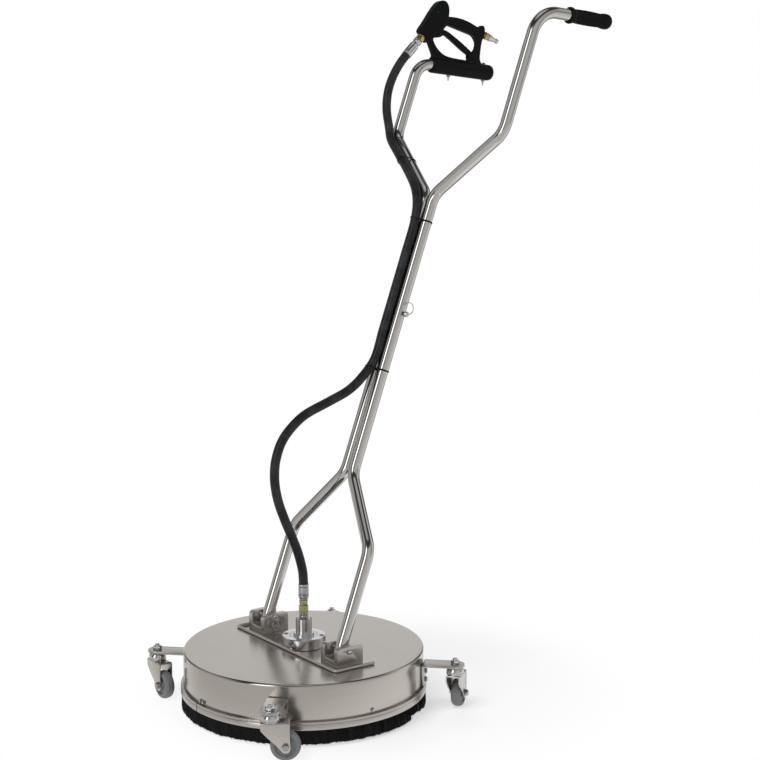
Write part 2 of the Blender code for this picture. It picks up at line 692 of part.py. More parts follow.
outlet = gun_fitting(
    OUTLET_AT, OUTLET_DIR, OUTLET_R, OUTLET_DEPTH, OUTLET_LEN, hex_r=0.0106, hex_end=0.0135,
)
finish(outlet, "gun_outlet_fitting", BRASS, AT_HANDLE)
inlet = gun_fitting(
    INLET_AT, INLET_DIR, INLET_R, INLET_DEPTH, INLET_LEN, hex_r=0.0095, hex_end=INLET_LEN,
)
finish(inlet, "gun_inlet_fitting", BRASS, AT_HANDLE)

# (radius, distance out from the end of the inlet)
plug_profile = [
    (0.0, 0.0310), (0.0050, 0.0310), (0.0056, 0.0296), (0.0056, 0.0240), (0.0044, 0.0225),
    (0.0044, 0.0195), (0.0058, 0.0180), (0.0062, 0.0100), (0.0082, 0.0085), (0.0082, 0.0),
    (0.0, 0.0),
]
plug_at = INLET_AT + INLET_DIR * (INLET_LEN + GAP)
quick_plug = turned(plug_profile, at=plug_at, axis=INLET_DIR, steps=16)
finish(quick_plug, "quick_connect_plug", ZINC, AT_HANDLE)

# ----------------------------------------------------------------- hose and its ferrules
HOSE_R = 0.00985
VALLEY = 0.0197           # the hose nests this far in front of the tube pair's middle

# (radius, distance back towards the gun from the ferrule's closed end)
upper_ferrule_profile = [
    (0.0, 0.0), (0.0075, 0.0), (0.0080, -0.0050), (0.0106, -0.0090), (0.0106, -0.0400),
    (0.0102, -0.0400), (0.0102, -0.0140), (0.0, -0.0140),
]
ferrule_at = OUTLET_AT + OUTLET_DIR * (OUTLET_LEN + GAP)
ferrule_upper = turned(upper_ferrule_profile, at=ferrule_at, axis=-OUTLET_DIR, steps=20)
finish(ferrule_upper, "ferrule_upper", ZINC, AT_HANDLE)

FERRULE_R, FERRULE_BORE = 0.0109, 0.01015
ferrule_floor = FERRULE_TOP - 0.0240
lower_ferrule_profile = [
    (0.0, ferrule_floor), (FERRULE_BORE, ferrule_floor), (FERRULE_BORE, FERRULE_TOP),
    (FERRULE_R, FERRULE_TOP), (FERRULE_R, FERRULE_LOW + 0.004), (0.0092, FERRULE_LOW),
    (0.0, FERRULE_LOW),
]
finish(turned(lower_ferrule_profile, steps=20), "ferrule_lower", ZINC)

lower_stations = [
    (0, 0, FERRULE_TOP - 0.0235), (0, 0, 0.258), (0, -0.003, 0.292), (0, -0.014, 0.330),
    (0, -0.029, 0.366), (0, -0.045, 0.402), (0, -0.0585, 0.437),
]
finish(wire(smooth_path(lower_stations), HOSE_R, 2), "hose_lower", HOSE_RUBBER)

hose_end = ferrule_at + OUTLET_DIR * 0.0150
upper_stations = [
    # the loop in front of the handle, and back to it
    (0, -0.0590, 0.4385), (0, -0.067, 0.470), (0, -0.0695, 0.500), (0, -0.066, 0.531),
    (0, -0.053, 0.565), (0, -0.030, 0.593), (0, 0.008, 0.620), (0, 0.070, 0.643),
    (0, 0.118, 0.662), (0, 0.1540, 0.688),
    # up the tube pair
    *[frame_point(0, up, VALLEY) for up in (0.600, 0.660, 0.720, 0.780, 0.840)],
    # out along the left arm
    frame_point(0.001, 0.905, VALLEY + 0.001), frame_point(-0.006, 0.950, 0.0235),
    frame_point(-0.030, 0.988, 0.0245), frame_point(-0.075, 1.027, 0.0245),
    frame_point(-0.125, 1.065, 0.0245), frame_point(-0.165, 1.098, 0.0260),
    # up to the gun
    (-0.1835, 0.3615, 1.2220), (GUN_X, 0.3550, 1.2620), (GUN_X, 0.3585, 1.3000),
    (GUN_X, 0.3710, 1.3330),
    hose_end + OUTLET_DIR * 0.0540 + Vector((0, 0.0006, -0.0016)),
    hose_end + OUTLET_DIR * 0.0300, hose_end + OUTLET_DIR * 0.0140, hose_end,
]
finish(wire(smooth_path(upper_stations), HOSE_R, 2), "hose_upper", HOSE_RUBBER, AT_HANDLE)

# ----------------------------------------------------------------- swivel on the deck
FLANGE_R, FLANGE_T = 0.0465, 0.0225
COLLAR_R = 0.0210
STUB_R = 0.0170
SHAFT_R = 0.0100
BEARING_BORE = 0.0203     # the housing's bore around the bearing
SCREW_R, SCREW_OUT = 0.0048, 0.0385
PLUG_BEARING = math.radians(-62.0)
flange_top = ON_DECK + FLANGE_T
collar_top = flange_top + 0.005


def plug_point(out):
    """A point on the axis of the plug in the flange's edge."""
    return Vector((*polar(1.0, PLUG_BEARING), 0)) * out + Vector((0, 0, ON_DECK + 0.0115))


def screw_head(degrees):
    x, y = polar(SCREW_OUT, math.radians(degrees))
    return rod(SCREW_R, (x, y, flange_top - 0.002), (x, y, flange_top + 0.0030), 8)


housing_profile = [
    (0.0078, STUB_TOP), (STUB_R - 0.0035, STUB_TOP), (STUB_R, STUB_TOP - 0.004),
    (STUB_R, collar_top), (COLLAR_R, collar_top), (COLLAR_R, flange_top),
    (FLANGE_R - 0.001, flange_top), (FLANGE_R, flange_top - 0.001), (FLANGE_R, ON_DECK),
    (BEARING_BORE, ON_DECK), (BEARING_BORE, ON_DECK + 0.0160), (SHAFT_R + GAP, ON_DECK + 0.0160),
    (SHAFT_R + GAP, STUB_TOP - 0.022), (0.0078, STUB_TOP - 0.022),
]
housing = combine(
    turned(housing_profile, steps=20),
    add=[screw_head(45 + 90 * k) for k in range(4)],
    cut=[rod(0.0062, plug_point(FLANGE_R + 0.01), plug_point(FLANGE_R - 0.012))],
)
finish(housing, "swivel_housing", ALLOY)

# Round plug with a hexagonal socket
swivel_plug = combine(
    rod(0.0059, plug_point(FLANGE_R - 0.0115), plug_point(FLANGE_R - 0.0025)),
    cut=[rod(0.0030, plug_point(FLANGE_R - 0.0070), plug_point(FLANGE_R + 0.004), 6)],
)
finish(swivel_plug, "swivel_plug", ZINC)

fit_low = STUB_TOP + GAP
fitting_profile = [
    (0.0, FERRULE_LOW - GAP), (0.0078, FERRULE_LOW - GAP), (0.0092, FERRULE_LOW - 0.0020),
    (0.0092, FERRULE_LOW - 0.0080), (0.0078, FERRULE_LOW - 0.0090),
    (0.0078, FERRULE_LOW - 0.0105), (0.0094, FERRULE_LOW - 0.0120), (0.0094, fit_low + 0.0080),
    (0.0080, fit_low + 0.0070), (0.0080, fit_low + 0.0060), (0.0092, fit_low + 0.0050),
    (0.0092, fit_low + 0.0015), (0.0100, fit_low), (0.0075, fit_low),
    (0.0075, STUB_TOP - 0.0200), (0.0, STUB_TOP - 0.0200),
]
finish(turned(fitting_profile, steps=12), "swivel_inlet_fitting", YELLOW_ZINC)

bearing_profile = [
    (SHAFT_R + GAP, ON_DECK + 0.0150), (0.0200, ON_DECK + 0.0150),
    (0.0200, ON_DECK + 0.0030), (SHAFT_R + GAP, ON_DECK + 0.0030),
]
finish(turned(bearing_profile, steps=32), "swivel_bearing", CHROME)

# ----------------------------------------------------------------- rotor
ARM_REACH = 0.2200
ARM_R = 0.0060
NOZZLE_TIP = 0.0300
JOURNAL_R = 0.0090        # the shaft's foot, inside the hub

shaft_profile = [
    (0.0, STUB_TOP - 0.0225), (SHAFT_R, STUB_TOP - 0.0225), (SHAFT_R, ROTOR_Z + 0.0160),
    (JOURNAL_R, ROTOR_Z + 0.0158), (JOURNAL_R, ROTOR_Z - 0.0050), (0.0, ROTOR_Z - 0.0050),
]
finish(turned(shaft_profile, steps=20), "rotor_shaft", STEEL, AT_ROTOR)

hub_profile = [
    (JOURNAL_R + GAP, ROTOR_Z + 0.0155), (0.0150, ROTOR_Z + 0.0155), (0.0200, ROTOR_Z + 0.0110),
    (0.0200, ROTOR_Z - 0.0110), (0.0180, ROTOR_Z - 0.0130), (0.0, ROTOR_Z - 0.0130),
    (0.0, ROTOR_Z - 0.0053), (JOURNAL_R + GAP, ROTOR_Z - 0.0053),
]
hub = combine(
    turned(hub_profile, steps=24),
    cut=[
        rod(ARM_R + GAP, (sign * 0.0098, 0, ROTOR_Z), (sign * 0.0300, 0, ROTOR_Z), 12)
        for sign in (1, -1)
    ],
)
finish(hub, "rotor_hub", ALLOY, AT_ROTOR)


def spray_arm(arm_x):
    """Out from the hub, then down to the nozzle."""
    start_x = math.copysign(0.0105, arm_x)
    path = [(start_x, 0, ROTOR_Z), (arm_x, 0, ROTOR_Z), (arm_x, 0, NOZZLE_TIP + 0.0203)]
    return wire(bent(path, 0.009, steps=3), ARM_R, 2)


def spray_nozzle(arm_x):
    """A hexagon over a tapered tip."""
    top, hex_low, tip_top, tip = [
        (arm_x, 0, NOZZLE_TIP + z) for z in (0.0200, 0.0080, 0.0090, 0.0)
    ]
    return combine(
        rod(0.0085, top, hex_low, 6), add=[rod(0.0060, tip_top, tip, 12, radius_end=0.0045)],
    )


for name, arm_x in (("a", ARM_REACH), ("b", -ARM_REACH)):
    finish(spray_arm(arm_x), f"spray_arm_{name}", STEEL, AT_ROTOR)
    finish(spray_nozzle(arm_x), f"spray_nozzle_{name}", BRASS, AT_ROTOR)

# ----------------------------------------------------------------- casters
# On square corners around the deck. Each piece is drawn around a king pin on the Z axis, with
# the bracket's wall towards -X and the fork trailing to +X.
CASTER_R = 0.3226         # from the deck's centre to a caster's king pin
CASTERS = {               # corner: (bearing from the deck's centre, bearing of the trail)
    "front_left": (225.0, 0.0),
    "front_right": (315.0, 57.0),
    "rear_right": (45.0, 125.0),
    "rear_left": (135.0, 123.0),
}
PLATE_TOP, PLATE_T, PLATE_HALF = 0.1005, 0.005, 0.020
LEG_BOTTOM = 0.0545
KING_R = 0.005
DOME_R, DOME_BOTTOM = 0.0185, 0.0795
DOME_TOP = PLATE_TOP - PLATE_T - GAP
CROWN_T = 0.0035
CROWN_TOP = DOME_BOTTOM - GAP
CROWN_LOW = CROWN_TOP - CROWN_T
CROWN_X = (-0.0190, 0.0200)
FORK_T = 0.0025
FORK_IN = 0.0125          # half the inside width between the fork's cheeks
FORK_OUT = FORK_IN + FORK_T
TRAIL = 0.029
AXLE_R = 0.004
WHEEL_R, WHEEL_W = 0.030, 0.022
WHEEL_STEPS = 16


def caster_bracket():
    """A round-nosed plate with a leg down the deck's wall."""
    wall = DECK_R - CASTER_R + GAP
    nose = [polar(PLATE_HALF, math.radians(-90 + 22.5 * k)) for k in range(1, 8)]
    outline = [(wall, -PLATE_HALF), (0.0, -PLATE_HALF)] + nose
    outline += [(0.0, PLATE_HALF), (wall, PLATE_HALF)]
    hole = [polar(KING_R + GAP, 2 * math.pi * k / 16) for k in range(16)]
    leg = box((wall, -PLATE_HALF, LEG_BOTTOM), (wall + PLATE_T, PLATE_HALF, PLATE_TOP - 0.001))
    lift = Matrix.Translation((0, 0, PLATE_TOP - PLATE_T / 2))
    return combine(moved(plate([outline, hole], PLATE_T), lift), add=[leg])


def caster_king_pin():
    """Pin and dome in one, with a hexagonal nut on the plate."""
    profile = [
        (0.0, PLATE_TOP + 0.0125), (KING_R, PLATE_TOP + 0.0125), (KING_R, DOME_TOP),
        (0.0120, DOME_TOP), (0.0165, DOME_TOP - 0.0030), (DOME_R, DOME_TOP - 0.0080),
        (DOME_R, DOME_BOTTOM), (KING_R, DOME_BOTTOM), (KING_R, CROWN_LOW - GAP),
        (0.0080, CROWN_LOW - GAP), (0.0080, CROWN_LOW - 0.0030), (0.0, CROWN_LOW - 0.0030),
    ]
    nut = rod(0.0098, (0, 0, PLATE_TOP + GAP), (0, 0, PLATE_TOP + 0.0075), 6)
    return combine(turned(profile, steps=12), add=[nut])


def axle_rod(radius, y_from, y_to, segments=12):
    return rod(radius, (TRAIL, y_from, WHEEL_R), (TRAIL, y_to, WHEEL_R), segments)


def caster_fork():
    """A crown plate with a cheek down either side of the wheel."""
    cheek = [                 # (X, Z)
        (CROWN_X[0], CROWN_TOP), (CROWN_X[1], CROWN_TOP), (0.0270, 0.0600), (0.0400, 0.0345),
        (0.0415, 0.0290), (0.0390, 0.0205), (0.0320, 0.0175), (0.0250, 0.0180),
        (0.0130, 0.0340), (-0.0040, 0.0540), (-0.0170, 0.0660),
    ]
    swap_y_z = Matrix(((1, 0, 0, 0), (0, 0, 1, 0), (0, 1, 0, 0), (0, 0, 0, 1)))
    cheeks = [
        moved(plate([cheek], FORK_T), Matrix.Translation((0, y, 0)) @ swap_y_z)
        for y in (-(FORK_IN + FORK_T / 2), FORK_IN + FORK_T / 2)
    ]
    return combine(
        box((CROWN_X[0], -FORK_OUT, CROWN_LOW), (CROWN_X[1], FORK_OUT, CROWN_TOP)),
        add=cheeks,
        cut=[
            rod(KING_R + GAP, (0, 0, 0.05), (0, 0, 0.09)),
            axle_rod(AXLE_R + GAP, -0.03, 0.03),
        ],
    )


def caster_axle():
    """A bolt with a hexagonal head at -Y and a round collar at +Y."""
    return combine(
        axle_rod(AXLE_R, -FORK_OUT - 0.0060, FORK_OUT + 0.0050),
        add=[
            axle_rod(0.0070, -FORK_OUT - 0.0060, -FORK_OUT - GAP, 6),
            axle_rod(0.0068, FORK_OUT + GAP, FORK_OUT + 0.0040),
        ],
    )


def caster_wheel():
    half = WHEEL_W / 2
    # the radius at the corners, so that a flat of the tread stands on the floor
    tread = WHEEL_R / math.cos(math.pi / WHEEL_STEPS)
    upper = [
        (AXLE_R + GAP, half + 0.0008), (0.0095, half + 0.0008), (0.0095, half - 0.003),
        (0.0200, half - 0.003), (0.0200, half), (0.0265, half), (tread, 0.0060),
    ]
    mirrored = [(radius, -z) for radius, z in reversed(upper)]
    return solid(turned(
        upper + mirrored, at=(TRAIL, 0, WHEEL_R), axis=(0, 1, 0),
        steps=WHEEL_STEPS, turn=math.pi / WHEEL_STEPS,
    ))


# (piece, source object, material, whether it swivels with the trail)
caster_pieces = [
    ("bracket", caster_bracket(), STEEL, False),
    ("king_pin", caster_king_pin(), CHROME, False),
    ("fork", caster_fork(), STEEL, True),
    ("axle", caster_axle(), ZINC, True),
    ("wheel", caster_wheel(), WHEEL_RUBBER, True),
]
for _, source, mat, _ in caster_pieces:
    source.data.materials.append(mat)
    smooth_shading(source.data)

# The four casters share their meshes
for corner, (bearing, trail_bearing) in CASTERS.items():
    at = Vector((*polar(CASTER_R, math.radians(bearing)), 0))
    swivel = empty(f"axis_caster_swivel_{corner}", at)
    for piece, source, _, swivels in caster_pieces:
        obj = bpy.data.objects.new(f"caster_{piece}_{corner}", source.data)
        PARTS.objects.link(obj)
        obj.location = at
        obj.rotation_euler.z = math.radians(trail_bearing if swivels else bearing)
        if swivels:
            hang(obj, swivel)
for _, source, _, _ in caster_pieces:
    bpy.data.objects.remove(source, do_unlink=True)

# ----------------------------------------------------------------- placing the machine
machine = empty("machine", (0, DECK_Y, 0))
for obj in PARTS.objects:
    if obj.parent is None and obj is not machine:
        obj.parent = machine
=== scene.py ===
"""Looks of a rotary surface cleaner: detailed meshes, procedural materials and a studio.

Metres, +Z up. The front is towards -Y and the left towards -X; the handle leans back to +Y.
Shapes are drawn about the deck's own axis, and piece() carries them to the frame's origin.
"""

import json
import math
import random

import bmesh
import bpy
from mathutils import Matrix, Vector, noise

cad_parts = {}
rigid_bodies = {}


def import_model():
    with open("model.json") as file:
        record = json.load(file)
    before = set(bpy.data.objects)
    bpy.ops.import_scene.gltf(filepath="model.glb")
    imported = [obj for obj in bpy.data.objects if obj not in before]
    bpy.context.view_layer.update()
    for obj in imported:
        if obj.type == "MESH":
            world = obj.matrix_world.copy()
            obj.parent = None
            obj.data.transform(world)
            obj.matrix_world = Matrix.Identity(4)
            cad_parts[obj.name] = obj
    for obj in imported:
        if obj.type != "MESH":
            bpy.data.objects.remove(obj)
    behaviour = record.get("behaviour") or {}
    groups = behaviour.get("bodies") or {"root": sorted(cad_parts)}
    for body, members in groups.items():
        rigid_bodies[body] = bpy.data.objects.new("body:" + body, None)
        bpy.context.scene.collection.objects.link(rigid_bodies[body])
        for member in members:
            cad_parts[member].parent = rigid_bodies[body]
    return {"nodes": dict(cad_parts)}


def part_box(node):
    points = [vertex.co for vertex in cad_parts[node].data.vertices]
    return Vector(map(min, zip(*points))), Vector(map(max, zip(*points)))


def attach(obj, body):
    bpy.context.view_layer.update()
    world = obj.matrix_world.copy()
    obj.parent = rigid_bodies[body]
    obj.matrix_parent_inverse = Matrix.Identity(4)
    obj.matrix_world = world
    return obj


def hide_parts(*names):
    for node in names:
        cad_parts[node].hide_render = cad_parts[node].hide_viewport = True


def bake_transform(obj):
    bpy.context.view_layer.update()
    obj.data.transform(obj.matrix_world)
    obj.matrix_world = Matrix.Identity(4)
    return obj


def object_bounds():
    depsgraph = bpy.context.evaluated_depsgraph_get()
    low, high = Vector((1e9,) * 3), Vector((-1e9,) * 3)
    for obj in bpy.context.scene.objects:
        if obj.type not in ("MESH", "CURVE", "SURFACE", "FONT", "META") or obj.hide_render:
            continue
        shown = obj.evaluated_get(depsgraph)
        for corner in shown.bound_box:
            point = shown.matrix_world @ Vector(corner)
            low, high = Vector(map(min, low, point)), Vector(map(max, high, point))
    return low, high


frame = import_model()
cad_low, cad_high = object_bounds()
pan_low, pan_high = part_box("deck_pan")

# ------------------------------------------------------------ dimensions
# Names ending in _R are radii, in _T thicknesses, in _DIR unit directions.
SIDES = (("left", -1), ("right", 1))
GAP = 0.0003    # clearance between neighbouring parts

# Deck, clamp band and brush
DECK = Vector(((pan_low.x + pan_high.x) / 2, (pan_low.y + pan_high.y) / 2, 0.0))
DECK_R = (pan_high.x - pan_low.x) / 2
DECK_TOP = pan_high.z
DECK_BOTTOM = pan_low.z
DECK_SEAT = DECK_TOP + GAP    # where parts stand on the deck
SHEET_T, RIM_R, DECK_BORE = 0.002, 0.005, 0.0215
BAND_R, BAND_TOP, BAND_BOTTOM = 0.2605, 0.0527, 0.0354
BRUSH_R, BRUSH_IN, BRUSH_TIP = 0.2582, 0.2545, 0.005
BAR_R = 0.003

# Casters: bearing of the king pin about the deck and bearing of the trailing wheel, in degrees
CASTERS = {
    "front_left": (225.0, 0.0),
    "front_right": (315.0, 57.0),
    "rear_right": (45.0, 125.0),
    "rear_left": (135.0, 123.0),
}
CASTER_REACH = 0.3226
PLATE_TOP, PLATE_T, PLATE_W, LEG_BOTTOM = 0.1005, 0.005, 0.040, 0.0545
KING_R, DOME_BOTTOM, CROWN_T = 0.005, 0.0795, 0.0035
DOME_TOP = PLATE_TOP - PLATE_T - GAP
CROWN_TOP = DOME_BOTTOM - GAP
CROWN_LOW = CROWN_TOP - CROWN_T
BRACKET_WALL = DECK_R - CASTER_REACH + 0.0003    # x of the bracket's face on the deck
WHEEL_R, WHEEL_W, TRAIL, AXLE_R = 0.030, 0.022, 0.029, 0.004
FORK_T, FORK_IN = 0.0025, 0.0125
FORK_HALF = FORK_IN + FORK_T

# Handle: a RUN is a distance up the leaning frame from its pivot
PIVOT_X, PIVOT_Y, PIVOT_Z = 0.1407, -0.0026, 0.1553
LEAN = math.radians(20.28)
TUBE_R, TUBE_BORE, PAIR_X, ARM_X = 0.0127, 0.0109, 0.0129, 0.1841
ELBOW_RUN, JOIN_RUN, SEAM_RUN = 0.2077, 0.3492, 0.7630
FORK_RUN, SHOULDER_RUN = 0.9769, 1.1142
GRIP_RUN, GUN_RUN, GRIP_LEG, GUN_LEG = 1.3880, 1.2949, 0.1990, 0.2145
LOWER_BEND_R, BEND_R, GRIP_BEND_R, LOCK_RUN = 0.055, 0.045, 0.068, 0.708
DROOP = math.radians(3.7)
LEG_DIR = Vector((0, math.cos(DROOP), -math.sin(DROOP)))
GRIP_LEN = 0.1205

# Pivot blocks and pins
BLOCK_W, BLOCK_H, CHEEK_T, BLOCK_BASE = 0.062, 0.0400, 0.014, 0.0127
PIN_R, RING_HOLE = 0.0045, 0.0067    # RING_HOLE: from the block's inner face to the ring's hole

# Swivel and rotor
FLANGE_R, FLANGE_T, STUB_R, STUB_TOP, SHAFT_R = 0.0465, 0.0225, 0.0170, 0.1885, 0.0100
FLANGE_TOP = DECK_SEAT + FLANGE_T
FLANGE_SCREW_REACH, FLANGE_SCREW_SINK = 0.0385, 0.0036
ROTOR_Z, ARM_REACH, NOZZLE_TIP = 0.0640, 0.2200, 0.0300

# Hose and its ferrules
HOSE_R, FERRULE_R, FERRULE_LOW, FERRULE_TOP = 0.00985, 0.0109, 0.2275, 0.2590
VALLEY = 0.0197    # how far in front of the tube pair the hose lies

# Trigger gun
GUN_X, GUN_HALF, BOW_HALF, SLEEVE_R = -ARM_X, 0.0135, 0.0080, 0.0185
TRIGGER_Y, TRIGGER_Z, TRIGGER_HALF = 0.4980, 1.4370, 0.0045
VALVE_Y, VALVE_LOW, VALVE_TOP, VALVE_R = 0.5130, 1.4620, 1.5020, 0.0085
OUTLET_DIR = Vector((0.0, -0.707, -0.707)).normalized()
OUTLET_AT = Vector((GUN_X, 0.4545, 1.4297))
INLET_DIR = Vector((0.0, 0.955, -0.297)).normalized()
INLET_AT = Vector((GUN_X, 0.6392, 1.4436))
UPPER_FERRULE_AT = OUTLET_AT + OUTLET_DIR * 0.0223

CAMERA_AT = Vector((2.5168, -1.6528, 1.1008))    # from the deck's axis on the floor
CAMERA_TURN = (82.28, 0.0, 53.63)
CAMERA_BEARING = math.radians(CAMERA_TURN[2])

VISUAL = bpy.data.collections.new("visual")
WORK = bpy.data.collections.new("work")
STUDIO = bpy.data.collections.new("studio")
for collection in (VISUAL, WORK, STUDIO):
    bpy.context.scene.collection.children.link(collection)


# ------------------------------------------------------------ shader nodes
class Nodes:
    """A node tree, put together node by node. math_inputs: how many inputs math() sets."""

    def __init__(self, tree, math_inputs=3):
        self.tree = tree
        self.math_inputs = math_inputs

    def feed(self, socket, value):
        """Links a socket to another or gives it a value; colours are given without alpha."""
        if isinstance(value, bpy.types.NodeSocket):
            self.tree.links.new(value, socket)
        elif socket.type == "RGBA":
            socket.default_value = (*value, 1.0)
        else:
            socket.default_value = value

    def add(self, kind, inputs=None, **settings):
        """A new node; inputs go by name or by index."""
        node = self.tree.nodes.new(kind)
        for key, value in settings.items():
            setattr(node, key, value)
        for key, value in (inputs or {}).items():
            self.feed(node.inputs[key], value)
        return node

    def math(self, operation, a, b=0.0, c=0.0):
        values = (a, b, c)[:self.math_inputs]
        return self.add("ShaderNodeMath", dict(enumerate(values)), operation=operation).outputs[0]

    def split(self, vector):
        return self.add("ShaderNodeSeparateXYZ", {0: vector}).outputs

    def mix(self, factor, first, second):
        inputs = {"Factor": factor, 6: first, 7: second}
        return self.add("ShaderNodeMix", inputs, data_type="RGBA").outputs[2]

    def colour_ramp(self, value, stops):
        """stops: (position, colour)."""
        node = self.add("ShaderNodeValToRGB")
        node.color_ramp.interpolation = "EASE"
        elements = node.color_ramp.elements
        while len(elements) > 1:
            elements.remove(elements[-1])
        elements[0].position = stops[0][0]
        elements[0].color = (*stops[0][1], 1)
        for position, colour in stops[1:]:
            elements.new(position).color = (*colour, 1)
        self.feed(node.inputs["Fac"], value)
        return node.outputs["Color"]

    def share_of_turn(self, x, y):
        """A bearing counted from the camera's own, as a share of a full turn; 0.5 is the camera."""
        bearing = self.math("ARCTAN2", x, self.math("MULTIPLY", y, -1.0))
        relative = self.math("SUBTRACT", bearing, CAMERA_BEARING)
        turns = self.math("DIVIDE", relative, 2 * math.pi)
        return self.math("FRACT", self.math("ADD", turns, 1.5))


class Look(Nodes):
    """A procedural material round one Principled shader."""

    def __init__(self, name):
        self.material = bpy.data.materials.new(name)
        self.material.use_nodes = True
        super().__init__(self.material.node_tree)
        self.shader = self.tree.nodes["Principled BSDF"]
        coordinates = self.add("ShaderNodeTexCoord").outputs
        self.at = coordinates["Object"]
        self.uv = coordinates["UV"]

    def scaled(self, vector, scale, shift=(0, 0, 0)):
        inputs = {"Vector": vector, "Location": shift, "Scale": scale}
        return self.add("ShaderNodeMapping", inputs).outputs[0]

    def noise(self, vector, scale=1.0, detail=3.0, roughness=0.5):
        inputs = {"Vector": vector, "Scale": scale, "Detail": detail, "Roughness": roughness}
        return self.add("ShaderNodeTexNoise", inputs).outputs[0]

    def ramp(self, value, low, high, top=1.0):
        """0 below low, top above high, eased between."""
        inputs = {"Value": value, "From Min": low, "From Max": high, "To Min": 0.0, "To Max": top}
        return self.add("ShaderNodeMapRange", inputs, interpolation_type="SMOOTHSTEP").outputs[0]

    def linear(self, value, slope, start):
        return self.math("MULTIPLY_ADD", value, slope, start)

    def spread(self, value, middle, width):
        """Carries 0..1 to a range of that width about middle."""
        return self.linear(value, slope=width, start=middle - width / 2)

    def crossfade(self, share, first, second):
        kept = self.math("MULTIPLY", first, self.math("SUBTRACT", 1.0, share))
        return self.math("ADD", kept, self.math("MULTIPLY", second, share))

    def about_deck(self):
        """x, y, z from the deck's axis."""
        return self.split(self.scaled(self.at, (1, 1, 1), tuple(-c for c in DECK)))

    def radius(self, x, y):
        squares = self.math("ADD", self.math("MULTIPLY", x, x), self.math("MULTIPLY", y, y))
        return self.math("SQRT", squares)

    def turn(self, x, y):
        """A quarter of the angle about the axis, close to metres of arc at the deck's wall."""
        return self.math("MULTIPLY", self.math("ARCTAN2", y, x), 0.25)

    def join(self, x, y, z):
        return self.add("ShaderNodeCombineXYZ", {0: x, 1: y, 2: z}).outputs[0]

    def wound(self, turn, height, turn_scale, height_scale):
        """Coordinates wrapped round the deck's axis."""
        along = self.math("MULTIPLY", turn, turn_scale)
        return self.join(along, 0.0, self.math("MULTIPLY", height, height_scale))

    def tinted(self, base, value, factor):
        """base, its brightness spread by factor with a 0..1 value."""
        inputs = {"Value": self.spread(value, middle=1.0, width=factor), "Color": base}
        return self.add("ShaderNodeHueSaturation", inputs).outputs[0]

    def worn(self, tone, low, high, share, colour):
        """Convex edges, where pointiness runs from low to high, take on another colour: partly wear,
        partly a painted highlight.
        """
        pointiness = self.add("ShaderNodeNewGeometry").outputs["Pointiness"]
        edges = self.ramp(pointiness, low, high)
        # Lighter convex edges: partly wear, partly a painted highlight where edges would catch the
        # light.
        return self.mix(self.math("MULTIPLY", edges, share), tone, colour)

    def bump(self, height, strength, distance, normal=None):
        inputs = {"Strength": strength, "Distance": distance, "Height": height}
        if normal is not None:
            inputs["Normal"] = normal
        return self.add("ShaderNodeBump", inputs).outputs[0]

    def finish(self, colour, roughness, metallic, normal, **more):
        """Feeds the shader; in more, underscores stand for the spaces of input names."""
        fed = {"Base Color": colour, "Roughness": roughness, "Metallic": metallic, "Normal": normal}
        fed.update((key.replace("_", " "), value) for key, value in more.items())
        for key, value in fed.items():
            self.feed(self.shader.inputs[key], value)
        return self.material


# ------------------------------------------------------------ materials
def brighter(colour, factor):
    return tuple(min(1.0, c * factor) for c in colour)


def steel(name, colour, roughness, grain, streak, rough_streak, mottle, mottled, bump, depth,
          edge=0.0, wave=0.0):
    """Metal with a drawn or brushed grain and soft smudges.

    grain: noise scale along each axis; streak, rough_streak: how much it sways tone and roughness;
    mottle, mottled: scale and strength of the smudges; bump, depth: relief of the grain;
    edge: brightness on convex edges (wear and painted highlight); wave: strength of a slow
    unevenness.
    """
    look = Look(name)
    lines = look.noise(look.scaled(look.at, grain), detail=5.0, roughness=0.65)
    cloud = look.noise(look.at, scale=mottle)
    tone = look.tinted(look.tinted(colour, cloud, mottled), lines, streak)
    rough = look.math(
        "ADD", look.spread(lines, roughness, rough_streak), look.spread(cloud, 0.0, width=0.10)
    )
    if edge:
        # Painted highlight, partly wear too: convex edges lightened towards a brighter copy of the
        # colour.
        tone = look.worn(tone, 0.505, 0.56, share=edge, colour=brighter(colour, 1.35))
    normal = look.bump(lines, bump, depth)
    if wave:
        slow = look.noise(look.at, scale=14.0, detail=1.0, roughness=0.4)
        normal = look.bump(slow, wave, distance=0.002, normal=normal)
    return look.finish(tone, look.math("MAXIMUM", rough, 0.03), metallic=1.0, normal=normal)


